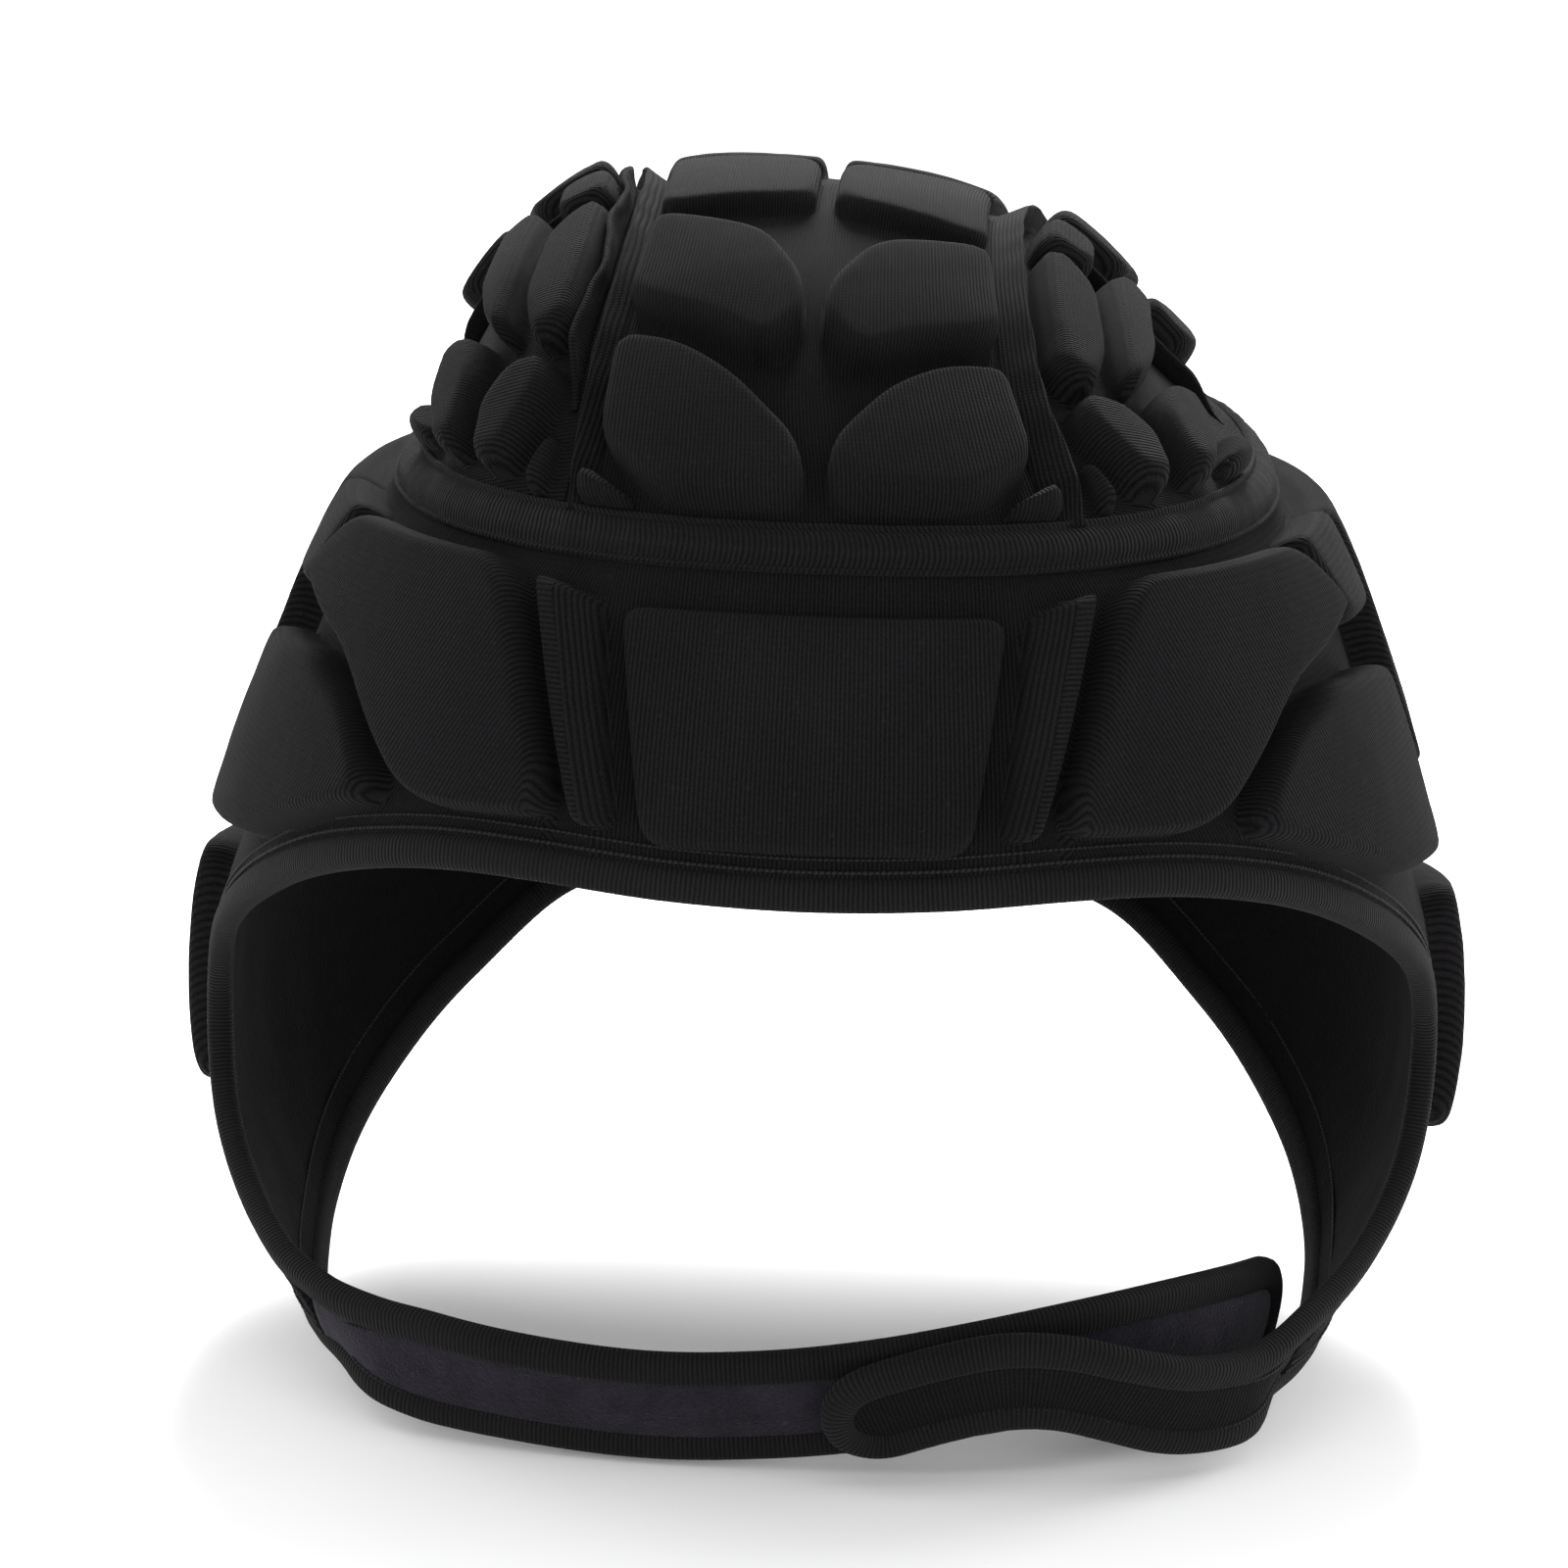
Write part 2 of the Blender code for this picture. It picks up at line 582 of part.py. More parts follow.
def build():
    clear_scene()
    parts = make_collection("goalkeeper_head_guard")
    knit = make_paint("black knit", KNIT, 0.95)
    pad_knit = make_paint("black knit on foam", PAD_KNIT, 0.92)
    trim = make_paint("black ribbed binding", TRIM, 0.85)
    velvet = make_paint("black loop velvet", LOOP_FACE, 1.0)

    # Cloth panels
    make_sheet("crown_center_panel", [center_panel_grid(6, 20)], CLOTH, -1, parts, knit)
    for side, word in ((-1, "left"), (1, "right")):
        make_sheet("crown_side_panel_" + word, [side_panel_grid(side, 4, 16)], CLOTH, -1, parts, knit)
    across = 6
    flaps = [flap_grid(side, across, 2) for side in (-1, 1)]
    make_sheet("band_panel", [band_grid(5, across)] + flaps, CLOTH, -1, parts, knit)

    # Pads
    for side, word in ((-1, "left"), (1, "right")):
        for name, height, corners in CROWN_PADS:
            make_pad(name + "_" + word, crown_point, mirrored(corners, side),
                     height * CROWN_PAD_HEIGHT, 2, parts, pad_knit)
        for name, height, corners in BAND_PADS:
            make_pad(name + "_" + word, band_point, mirrored(corners, side),
                     height * BAND_PAD_HEIGHT, 3, parts, pad_knit)
    name, height, corners = FOREHEAD_PAD
    make_pad(name, band_point, corners, height * BAND_PAD_HEIGHT, 3, parts, pad_knit)

    # Seams and tape
    make_sheet("crown_seam_tape", [tape_grid(48)], SEAM_TAPE_THICKNESS, 1, parts, trim)
    for side, word in ((-1, "left"), (1, "right")):
        front = seam_over_angle(CENTER_SEAM_ANGLE) + 4.6
        back = seam_back_angle(CENTER_SEAM_ANGLE) - 4.6
        over = np.linspace(front, back, 22)
        route = lifted(crown_point, side * CENTER_SEAM_ANGLE, over, GAP + CENTER_SEAM_RADIUS)
        make_tube("center_seam_" + word, route, CENTER_SEAM_RADIUS, 6, parts, trim)
        angles = np.linspace(31.5, 66.0, 10)
        route = lifted(crown_point, side * angles, REAR_SEAM_ANGLE, GAP + REAR_SEAM_RADIUS)
        make_tube("rear_seam_" + word, route, REAR_SEAM_RADIUS, 6, parts, trim)

    # Bindings on the two edges
    distance = GAP + BINDING_RADIUS
    face = beside(-1, face_edge_rows(2), distance)
    make_tube("face_binding", face, BINDING_RADIUS, 6, parts, trim)
    neck = beside(-1, neck_edge_rows(2), distance)
    make_tube("neck_binding", neck, BINDING_RADIUS, 6, parts, trim)

    # Chin straps
    make_sheet("chin_strap_left", [strap_grid(-1, LOOP_STRAP, STRAP_WIDTH, 3)],
               STRAP_THICKNESS, 0, parts, velvet)
    make_sheet("chin_strap_right", [strap_grid(1, HOOK_TAB, TAB_WIDTH, 3)],
               STRAP_THICKNESS, 0, parts, trim)


build()
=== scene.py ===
"""Goalkeeper head guard: the knit, pads, seams, bindings and chin straps.

Metres, +Z up, the face along -Y. Angles are in degrees.
"""

import math

import bmesh
import bpy
import numpy as np
from mathutils import Matrix, Vector


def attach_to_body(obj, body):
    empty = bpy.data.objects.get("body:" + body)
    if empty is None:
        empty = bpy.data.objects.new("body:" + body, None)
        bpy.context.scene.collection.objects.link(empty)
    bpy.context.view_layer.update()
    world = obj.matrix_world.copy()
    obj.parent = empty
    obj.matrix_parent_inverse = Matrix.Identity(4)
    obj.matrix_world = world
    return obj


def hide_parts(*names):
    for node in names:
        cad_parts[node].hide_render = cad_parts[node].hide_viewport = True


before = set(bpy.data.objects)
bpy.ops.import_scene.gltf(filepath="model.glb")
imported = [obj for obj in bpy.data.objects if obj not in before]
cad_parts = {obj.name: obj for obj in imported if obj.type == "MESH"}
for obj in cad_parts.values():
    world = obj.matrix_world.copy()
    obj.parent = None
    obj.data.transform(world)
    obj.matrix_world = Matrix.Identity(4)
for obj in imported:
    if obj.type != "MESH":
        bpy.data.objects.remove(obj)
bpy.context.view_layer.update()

# Sizes of the cap, as in its CAD source
DEPTH = 0.175
HALF_WIDTH = 0.0995
FRONT_REACH = 0.097
BACK_REACH = 0.095
SQUARENESS = 2.4
CLOTH = 0.0025
LEAN_REACH = 0.0030
LEAN_SLOPE = 0.075
LEAN_START = 0.0420
LEAN_FULL = 0.0175
SEAM_DROP = 0.24
CENTER_SEAM_ANGLE = 27.0
REAR_SEAM_ANGLE = 96.0
CROWN_PAD_TOP = 0.0070
BAND_PAD_TOP = 0.0076
STRAP_WIDTH = 0.0170
TAB_WIDTH = 0.0145
STRAP_JOINT = 0.0020

# Sizes of the sewing
RIB_PITCH = 0.00070
BINDING_RIB_PITCH = 0.00072
LINING_ROW_PITCH = 0.0011
LOOPER_PITCH = 0.00082
BIGHT = 0.0021
PLY_PITCH = 0.0009
STITCH_LENGTH = 0.0024
THREAD_STEP = 0.0005
BINDING_HALF_WIDTH = 0.0027
BINDING_HALF_THICKNESS = 0.0021
BINDING_OUT = 0.0013
TAPE_MIDDLE = 0.0047
MILLIMETRE = 0.001

# How every cloth takes the light
SHEEN_ROUGHNESS = 0.45
SPECULAR = 0.08

# From a seam's line to each cut edge: share of DEPTH, degrees
SEAM_GAP = 0.0051
SEAM_ALLOWANCE = 0.6

# Metres of cloth to a degree
BAND_DEGREE = 0.00172
CROWN_DEGREE = 0.00166
SIDE_DEGREE = 0.00132

# Pads: rings from the outline inwards, then how far out and how high the hem lies
PAD_INSETS = (0.0, 0.00006, 0.0002, 0.00045, 0.0008, 0.0012, 0.0017, 0.0023, 0.0031, 0.0043)
PAD_STEP = 0.0023
PAD_HEM_OUT = (0.0012, 0.0004)
PAD_HEM_LIFT = (-0.0005, 0.00002)
PAD_BASE = 0.0003
PAD_UNDER = -0.0006

# Brow strip: drop of its top and foot, then azimuths there of its edges and ridge
STRIP_TOP, STRIP_FOOT = 0.279, 0.472
STRIP_INNER = (20.9, 17.2)
STRIP_RIDGE = (24.3, 18.9)
STRIP_OUTER = (27.0, 20.2)

SIDES = ((-1, "left"), (1, "right"))

# The studio
FLOOR_HEIGHT = -0.1875
AIR_STRENGTH = 1.15
# Lamps: name, place, size, watts, height of the middle that they face
LAMPS = (
    ("top softbox", (0.0, 1.00, 0.70), 0.5, 28.0, -0.08),
    ("left softbox", (-1.0, 0.60, 0.30), 0.5, 2.6, -0.08),
    ("right softbox", (1.0, 0.60, 0.30), 0.5, 5.0, -0.08),
    ("front fill", (0.1, -1.2, 0.02), 1.0, 9.0, -0.15),
)
CAMERA_AIM = (-0.00741, -0.00007, -0.09702 + CLOTH)
CAMERA_AZIMUTH, CAMERA_HEIGHT, CAMERA_ROLL = 2.5, 14.0, 1.5
CAMERA_AWAY = 0.850
CAMERA_LENS = 118.6

# Level sections: drop, half width, front, back, middle, as shares
SECTIONS = (
    (0.000, 0.000, 0.000, 0.000, 0.153),
    (0.009, 0.201, 0.211, 0.210, 0.150),
    (0.034, 0.337, 0.381, 0.400, 0.137),
    (0.074, 0.437, 0.526, 0.568, 0.116),
    (0.126, 0.523, 0.660, 0.716, 0.095),
    (0.183, 0.603, 0.773, 0.832, 0.074),
    (0.240, 0.688, 0.856, 0.916, 0.053),
    (0.331, 0.784, 0.907, 0.979, 0.032),
    (0.446, 0.864, 0.959, 1.000, 0.021),
    (0.566, 0.935, 0.979, 1.000, 0.000),
    (0.697, 1.000, 1.000, 0.958, 0.000),
    (0.857, 0.990, 0.969, 0.884, -0.021),
    (1.000, 0.874, 0.845, 0.737, -0.053),
    (1.086, 0.774, 0.742, 0.632, -0.063),
)

# Cut edges: azimuth, drop
BROW_EDGE = (
    (0.0, 0.509), (12.0, 0.506), (24.0, 0.500), (34.0, 0.503), (44.0, 0.520),
    (53.0, 0.546), (62.0, 0.583), (70.0, 0.623), (77.0, 0.669),
)
NAPE_EDGE = ((146.0, 0.777), (155.0, 0.749), (166.0, 0.726), (180.0, 0.714))

# Ear flap: azimuth and drop of its face edge, then of its neck edge
FLAP_EDGES = (
    (77.0, 0.669, 146.0, 0.777),
    (81.5, 0.726, 134.5, 0.850),
    (82.5, 0.789, 119.0, 0.931),
    (79.5, 0.860, 101.0, 0.993),
    (71.5, 0.925, 81.0, 1.022),
    (60.0, 0.966, 60.0, 1.025),
)

# Crown pads of one side: name, height, corners (to the side, over the top)
CROWN_PADS = (
    ("crown_pad_1", 1.0,
     ((1.3, 16.9), (16.0, 17.2), (23.2, 23.0), (23.1, 38.0), (15.0, 36.3), (8.5, 31.8),
      (1.3, 23.5))),
    ("crown_pad_2", 1.0,
     ((1.1, 49.0), (1.3, 40.5), (5.4, 35.2), (12.4, 39.4), (23.4, 43.8), (22.8, 64.5),
      (7.0, 59.5))),
    ("crown_pad_3", 0.56, ((1.3, 76.5), (23.4, 71.5), (23.2, 104.0), (1.3, 101.5))),
    ("crown_pad_4", 0.50,
     ((1.3, 137.5), (8.5, 139.5), (23.2, 135.2), (22.6, 107.5), (1.3, 105.5))),
    ("crown_pad_5", 1.0,
     ((1.3, 161.8), (17.0, 161.8), (22.4, 154.0), (23.2, 140.2), (9.0, 143.5), (1.3, 141.5))),
    ("crown_corner_pad", 0.8,
     ((18.4, 17.3), (24.2, 21.1), (25.3, 20.6), (25.2, 17.7), (20.0, 17.2))),
    ("side_pad_1", 1.0,
     ((29.6, 41.5), (34.6, 39.3), (37.8, 49.0), (37.6, 67.0), (33.5, 73.5), (29.6, 74.0))),
    ("side_pad_2", 1.0,
     ((40.2, 42.5), (44.8, 50.5), (47.8, 62.0), (47.8, 91.5), (40.6, 91.5), (40.2, 66.0))),
    ("side_pad_3", 1.0,
     ((34.6, 21.6), (39.3, 22.5), (40.2, 31.5), (36.2, 37.2), (31.0, 36.8), (30.4, 31.5))),
    ("side_pad_4", 1.0,
     ((43.2, 25.2), (47.6, 27.0), (52.8, 38.0), (52.6, 52.0), (47.2, 51.2), (43.0, 41.0))),
    ("side_pad_5", 0.8,
     ((52.2, 32.6), (57.0, 34.5), (61.2, 41.0), (60.8, 46.0), (56.4, 45.5), (55.0, 39.5))),
    ("side_pad_6", 1.0, ((29.6, 77.0), (37.6, 76.5), (37.8, 92.0), (29.8, 92.5))),
    ("side_pad_7", 0.7, ((29.6, 27.0), (31.4, 23.0), (32.2, 19.4), (29.6, 18.8))),
    ("rear_side_pad_1", 1.0,
     ((30.0, 136.0), (40.5, 130.5), (43.0, 121.0), (42.8, 99.8), (30.0, 99.5))),
    ("rear_side_pad_2", 1.0,
     ((45.6, 129.0), (53.5, 124.0), (57.0, 113.0), (56.5, 100.0), (45.2, 100.0))),
    ("rear_side_pad_3", 1.0,
     ((30.0, 158.0), (38.5, 155.0), (48.5, 142.5), (45.5, 133.5), (30.0, 141.5))),
)
SMALL_PADS = ("crown_corner_pad", "side_pad_5", "side_pad_7")

# Band pads of one side: name, height, corners (azimuth, drop)
BAND_PADS = (
    ("brow_strip_pad", 1.10,
     ((STRIP_INNER[0], 0.291), (STRIP_OUTER[0], STRIP_TOP), (STRIP_OUTER[1], STRIP_FOOT),
      (STRIP_INNER[1], 0.470))),
    ("temple_pad", 1.25,
     ((30.2, 0.272), (54.0, 0.274), (63.5, 0.338), (46.5, 0.378), (35.5, 0.476), (21.5, 0.468),
      (27.2, 0.325))),
    ("cheek_pad", 1.00,
     ((55.5, 0.384), (75.0, 0.398), (76.5, 0.575), (64.0, 0.562), (40.0, 0.480), (45.5, 0.414))),
    ("upper_side_pad", 0.85, ((60.0, 0.275), (83.0, 0.278), (84.0, 0.370), (68.5, 0.358))),
    ("ear_pad", 0.80, ((87.5, 0.630), (120.0, 0.670), (112.5, 0.898), (89.5, 0.862))),
    ("rear_band_pad", 0.90, ((88.0, 0.290), (134.0, 0.290), (133.0, 0.585), (86.0, 0.520))),
    ("nape_pad", 0.90, ((138.5, 0.290), (178.5, 0.290), (178.5, 0.650), (139.0, 0.620))),
)
FOREHEAD_PAD = ("forehead_pad", 0.62,
                ((-18.6, 0.293), (18.6, 0.293), (14.4, 0.483), (-14.4, 0.483)))

# Chin straps: side, forward, drop, lean of the lower edge
LOOP_STRAP = (
    (-0.782, 0.517, 0.996, 8.0), (-0.650, 0.630, 1.008, 14.0), (-0.460, 0.700, 1.018, 20.0),
    (-0.240, 0.735, 1.024, 22.0), (-0.040, 0.742, 1.018, 22.0), (0.140, 0.738, 1.004, 20.0),
    (0.300, 0.718, 0.988, 16.0), (0.450, 0.668, 0.976, 12.0), (0.585, 0.570, 0.975, 8.0),
    (0.685, 0.440, 0.985, 6.0), (0.748, 0.290, 1.003, 6.0),
)
HOOK_TAB = (
    (0.782, 0.517, 0.996, 8.0), (0.705, 0.632, 1.012, 14.0), (0.605, 0.715, 1.008, 22.0),
    (0.505, 0.768, 0.990, 26.0), (0.410, 0.792, 0.976, 24.0), (0.320, 0.800, 0.976, 22.0),
    (0.220, 0.804, 0.990, 22.0), (0.120, 0.806, 1.010, 22.0), (0.070, 0.806, 1.024, 22.0),
)


# ---- form

def smooth_rows(rows, steps, start=None):
    """Points of a smooth curve through table rows, `steps` to a row."""
    table = np.array(rows, dtype=float)
    before = 2 * table[0] - table[1] if start is None else np.array(start, dtype=float)
    after = 2 * table[-1] - table[-2]
    knots = np.vstack([before, table, after])
    out = []
    for k in range(1, len(knots) - 2):
        a, b, c, d = knots[k - 1:k + 3]
        for t in np.arange(steps) / steps:
            out.append(0.5 * (2 * b + (c - a) * t + (2 * a - 5 * b + 4 * c - d) * t ** 2
                              + (3 * b - a - 3 * c + d) * t ** 3))
    out.append(table[-1])
    return np.array(out)


def level_table():
    """Level sections in metres: drop, half width, front, back, middle."""
    first = SECTIONS[1]
    mirrored = (first[0], -first[1], -first[2], -first[3], first[4])
    table = smooth_rows(SECTIONS, 40, start=mirrored)
    return table * np.array([DEPTH, HALF_WIDTH, FRONT_REACH, BACK_REACH, BACK_REACH])


LEVELS = level_table()
HEART = np.array([0.0, 0.053 * BACK_REACH, CLOTH - 0.354 * DEPTH])


def level(drop):
    """Half width, front, back and middle of the form at a drop."""
    return [np.interp(drop, LEVELS[:, 0], LEVELS[:, k]) for k in range(1, 5)]


def outline_power(side, ahead, half, front, back):
    """1 on the outline of a level section, less inside it."""
    reach = np.where(ahead > 0, front, back) + 1e-9
    return (np.abs(side) / (half + 1e-9)) ** SQUARENESS + (np.abs(ahead) / reach) ** SQUARENESS


def band_point(azimuth, drop):
    """Point of the outer cloth at an azimuth and a share of DEPTH."""
    azimuth, drop = np.broadcast_arrays(np.radians(azimuth), np.asarray(drop) * DEPTH)
    half, front, back, middle = level(drop)
    side, ahead = np.sin(azimuth), np.cos(azimuth)
    radius = outline_power(side, ahead, half, front, back) ** (-1 / SQUARENESS)
    return np.stack([radius * side, middle - radius * ahead, CLOTH - drop], axis=-1)


def is_inside(point):
    """Whether a point lies inside the outer cloth, before the crown's lean."""
    drop = CLOTH - point[..., 2]
    half, front, back, middle = level(np.maximum(drop, 0))
    power = outline_power(point[..., 0], middle - point[..., 1], half, front, back)
    return (power < 1) & (drop > 0)


def leaned(point):
    """The crown sits a little to one side of the band, as a soft cap does."""
    share = np.clip((LEAN_START - CLOTH + point[..., 2]) / (LEAN_START - LEAN_FULL), 0, 1)
    share = share * share * (3 - 2 * share)
    moved = np.array(point)
    moved[..., 0] = point[..., 0] - LEAN_REACH * share
    moved[..., 2] = point[..., 2] - LEAN_SLOPE * point[..., 0] * share
    return moved


def halved(low, high, goes_on, rounds):
    """Close in on where `goes_on` stops, from below and from above."""
    for _ in range(rounds):
        half_way = (low + high) / 2
        further = goes_on(half_way)
        low = np.where(further, half_way, low)
        high = np.where(further, high, half_way)
    return low, high


def crown_point(side, over):
    """Point of the outer cloth at an angle to the side and one over the top."""
    side, over = np.broadcast_arrays(np.radians(side), np.radians(over))
    ray = np.stack([np.sin(side), -np.cos(side) * np.cos(over), np.cos(side) * np.sin(over)],
                   axis=-1)
    reach = halved(np.zeros(side.shape), np.full(side.shape, DEPTH),
                   lambda reach: is_inside(HEART + ray * reach[..., None]), 30)[0]
    return leaned(HEART + ray * reach[..., None])


def outward(point_of, first, second):
    """Points of the outer cloth and the way out of it at each."""
    step = 0.4
    first, second = np.broadcast_arrays(np.asarray(first, float), np.asarray(second, float))
    scale = 0.01 if point_of is band_point else 1.0
    centre = point_of(first, second)
    across = point_of(first + step, second) - point_of(first - step, second)
    along = point_of(first, second + step * scale) - point_of(first, second - step * scale)
    normal = np.cross(across, along)
    normal /= np.linalg.norm(normal, axis=-1, keepdims=True) + 1e-15
    out = np.sum(normal * (centre - HEART), axis=-1, keepdims=True)
    return centre, np.where(out < 0, -normal, normal)


def lifted(point_of, first, second, lift):
    """Points raised off the cloth by `lift`."""
    centre, normal = outward(point_of, first, second)
    return centre + normal * np.asarray(lift)[..., None]


def unit(vectors):
    return vectors / np.linalg.norm(vectors, axis=-1, keepdims=True)


def square_to(tangent, vectors):
    """The unit vectors nearest to `vectors` at right angles to a route."""
    return unit(vectors - tangent * np.sum(vectors * tangent, axis=-1, keepdims=True))


def between(low, high, share):
    return low + (high - low) * share


def ripple(points, wavelength, turn):
    """A slow unevenness from -1 to 1, the same on every run."""
    ways = np.array([(0.83, 0.31, 0.46), (-0.42, 0.77, 0.48),
                     (0.24, -0.55, 0.80), (0.61, 0.58, -0.54)])
    steps = points @ ways.T * (math.tau / wavelength)
    bends = np.sin(steps + turn * np.array([1.0, 2.3, 3.9, 5.1])
                   + 1.3 * np.sin(steps[..., ::-1] * 0.61))
    return bends.mean(axis=-1)


def ease(value, low, high):
    """From 0 at `low` to 1 at `high`, without a corner."""
    share = np.clip((value - low) / (high - low), 0, 1)
    return share * share * (3 - 2 * share)


def hump(value, foot, top, end, last):
    """Up from 0 at `foot` to 1 at `top`, and down from `end` to 0 at `last`."""
    return ease(value, foot, top) * (1 - ease(value, end, last))


# ---- finishes

class Wire:
    """A value in a finish, on which sums are written as in algebra."""

    def __init__(self, finish, socket):
        self.finish = finish
        self.socket = socket

    def sum_of(self, operation, *values):
        return self.finish.node("ShaderNodeMath", {"operation": operation}, dict(enumerate(values)))

    def __add__(self, other):
        return self.sum_of("ADD", self, other)

    def __sub__(self, other):
        return self.sum_of("SUBTRACT", self, other)

    def __mul__(self, other):
        return self.sum_of("MULTIPLY", self, other)

    def __abs__(self):
        return self.sum_of("ABSOLUTE", self)

    __radd__ = __add__

    def sine(self):
        return self.sum_of("SINE", self)

    def fraction(self):
        return self.sum_of("FRACT", self)

    def within(self, low, high):
        return self.finish.node("ShaderNodeMapRange", {"interpolation_type": "SMOOTHSTEP"},
                                {0: self, 1: low, 2: high, 3: 0.0, 4: 1.0})


class Finish:
    """A cloth finish and the nodes that draw it."""

    def __init__(self, name, sheen, sheen_colour):
        self.material = bpy.data.materials.new(name)
        self.material.use_nodes = True
        self.tree = self.material.node_tree
        self.shader = self.tree.nodes["Principled BSDF"]
        self.shader.inputs["Sheen Weight"].default_value = sheen
        self.shader.inputs["Sheen Roughness"].default_value = SHEEN_ROUGHNESS
        self.shader.inputs["Sheen Tint"].default_value = (*sheen_colour, 1.0)
        self.shader.inputs["Specular IOR Level"].default_value = SPECULAR

    def node(self, kind, settings, sockets, out=0):
        node = self.tree.nodes.new(kind)
        for name, value in settings.items():
            setattr(node, name, value)
        for key, value in sockets.items():
            self.feed(node.inputs[key], value)
        return Wire(self, node.outputs[out])

    def feed(self, socket, value):
        if isinstance(value, Wire):
            self.tree.links.new(value.socket, socket)
        elif isinstance(value, tuple):
            socket.default_value = (*value, 1.0)
        else:
            socket.default_value = value

    def thread(self):
        """Metres across and along the cloth."""
        lay = self.node("ShaderNodeUVMap", {"uv_map": "thread"}, {})
        return (self.node("ShaderNodeSeparateXYZ", {}, {0: lay}, 0),
                self.node("ShaderNodeSeparateXYZ", {}, {0: lay}, 1))

    def cloud(self, scale, detail=2.0, roughness=0.5):
        """A soft random pattern, `scale` waves to a metre."""
        place = self.node("ShaderNodeTexCoord", {}, {}, "Object")
        return self.node("ShaderNodeTexNoise", {"noise_dimensions": "3D"},
                         {"Vector": place, "Scale": scale, "Detail": detail,
                          "Roughness": roughness})

    def show(self, share, roughness, height, dark, light, relief):
        """Wire up the shader: `share` of light in dark, and a fine bump `relief` high."""
        colour = self.node("ShaderNodeMix", {"data_type": "RGBA"}, {0: share, 6: dark, 7: light}, 2)
        self.feed(self.shader.inputs["Base Color"], colour)
        self.feed(self.shader.inputs["Roughness"], roughness)
        bump = self.node("ShaderNodeBump", {},
                         {"Strength": 1.0, "Distance": relief, "Height": height})
        self.feed(self.shader.inputs["Normal"], bump)
        return self.material


def knit_finish(name, *look):
    """Fine rib knit: plump wales, small stitches along them, a little lint; painted shade darkens
    the troughs between wales and stitches.
    """
    finish = Finish(name, 0.010, (0.82, 0.80, 0.90))
    across, along = finish.thread()
    drift = finish.cloud(140.0)
    wale = abs((across * (math.pi / RIB_PITCH) + drift * 0.9).sine())
    lean = abs(((across * (1 / RIB_PITCH)).fraction() - 0.5) * 1.1)
    stitch = abs(((along * (1 / (RIB_PITCH * 1.35)) + lean) * math.pi).sine())
    fuzz = finish.cloud(2600.0, 1.0, 0.6)
    patch = finish.cloud(38.0, 3.0, 0.55)
    height = wale * 0.85 + stitch * 0.20 + fuzz * 0.22
    lint = finish.cloud(900.0, 0.0).within(0.76, 0.83)
    # Painted shade: the colour is darker in the troughs of the wales and stitches, where their
    # bump's hollows fall in shade. The fuzz, patches and lint are the knit's own tone.
    share = (wale * 0.72 - 0.10 + stitch * 0.12 + (fuzz - 0.5) * 0.75 + (patch - 0.5) * 0.7
             + lint * 0.30)
    return finish.show(share, 0.84 + patch * 0.14, height, *look)


def brushed_finish(name, *look):
    """Brushed lining: short nap with hardly any rows to see."""
    finish = Finish(name, 0.015, (0.75, 0.72, 0.80))
    nap = finish.cloud(1500.0, 2.0, 0.65)
    tuft = finish.cloud(260.0, 2.0, 0.6)
    across = finish.thread()[0]
    rows = abs((across * (math.pi / LINING_ROW_PITCH) + tuft * 2.5).sine())
    share = nap * 0.7 + tuft * 0.35 + rows * 0.12 - 0.15
    height = nap * 0.7 + tuft * 0.5
    return finish.show(share, 0.95 + nap * 0.05, height, *look)


def binding_finish(name, *look):
    """Grosgrain binding: fine cords lying across the strip, with painted shade in the grooves
    between them.
    """
    finish = Finish(name, 0.025, (0.85, 0.85, 0.88))
    along = finish.thread()[0]
    drift = finish.cloud(220.0, 1.0)
    cord = abs((along * (math.pi / BINDING_RIB_PITCH) + drift * 1.2).sine())
    fuzz = finish.cloud(2400.0, 1.0, 0.6)
    patch = finish.cloud(60.0)
    # Painted shade: the colour is darker in the grooves between the cords, where the bump's hollows
    # fall in shade.
    share = cord * 0.65 + (fuzz - 0.5) * 0.6 + (patch - 0.5) * 0.4
    height = cord * 0.85 + fuzz * 0.25
    return finish.show(share, 0.80 + fuzz * 0.14, height, *look)


def cover_stitch_finish(name, *look):
    """Flat seam: fine looper threads that cross it in shallow arcs, with painted shade between
    them.
    """
    finish = Finish(name, 0.025, (0.85, 0.85, 0.90))
    along, across = finish.thread()
    drift = finish.cloud(300.0, 1.0)
    row = across * 310.0
    strand = abs((along * (math.pi / LOOPER_PITCH) + row * row * 2.6 + drift * 2.2).sine())
    fuzz = finish.cloud(2300.0, 1.0, 0.6)
    bight = abs((across * (math.pi / BIGHT)).sine())
    # Painted shade: the colour is darker between the looper strands, where the bump's hollows fall
    # in shade.
    share = strand * 0.75 + (fuzz - 0.5) * 0.7 - bight * 0.12
    height = strand * 0.9 + fuzz * 0.3
    return finish.show(share, 0.80 + fuzz * 0.15, height, *look)


def velvet_finish(name, *look):
    """Loop side of the strap: fine loops, lightly matted, with lint."""
    finish = Finish(name, 0.08, (0.86, 0.82, 0.95))
    loops = finish.cloud(1900.0, 2.0, 0.7)
    matted = finish.cloud(170.0, 3.0, 0.6)
    lint = finish.cloud(1100.0, 0.0).within(0.77, 0.84)
    share = loops * 0.8 + (matted - 0.5) * 0.8 + lint * 0.5
    height = loops + matted * 0.6
    return finish.show(share, 0.93 + loops * 0.07, height, *look)


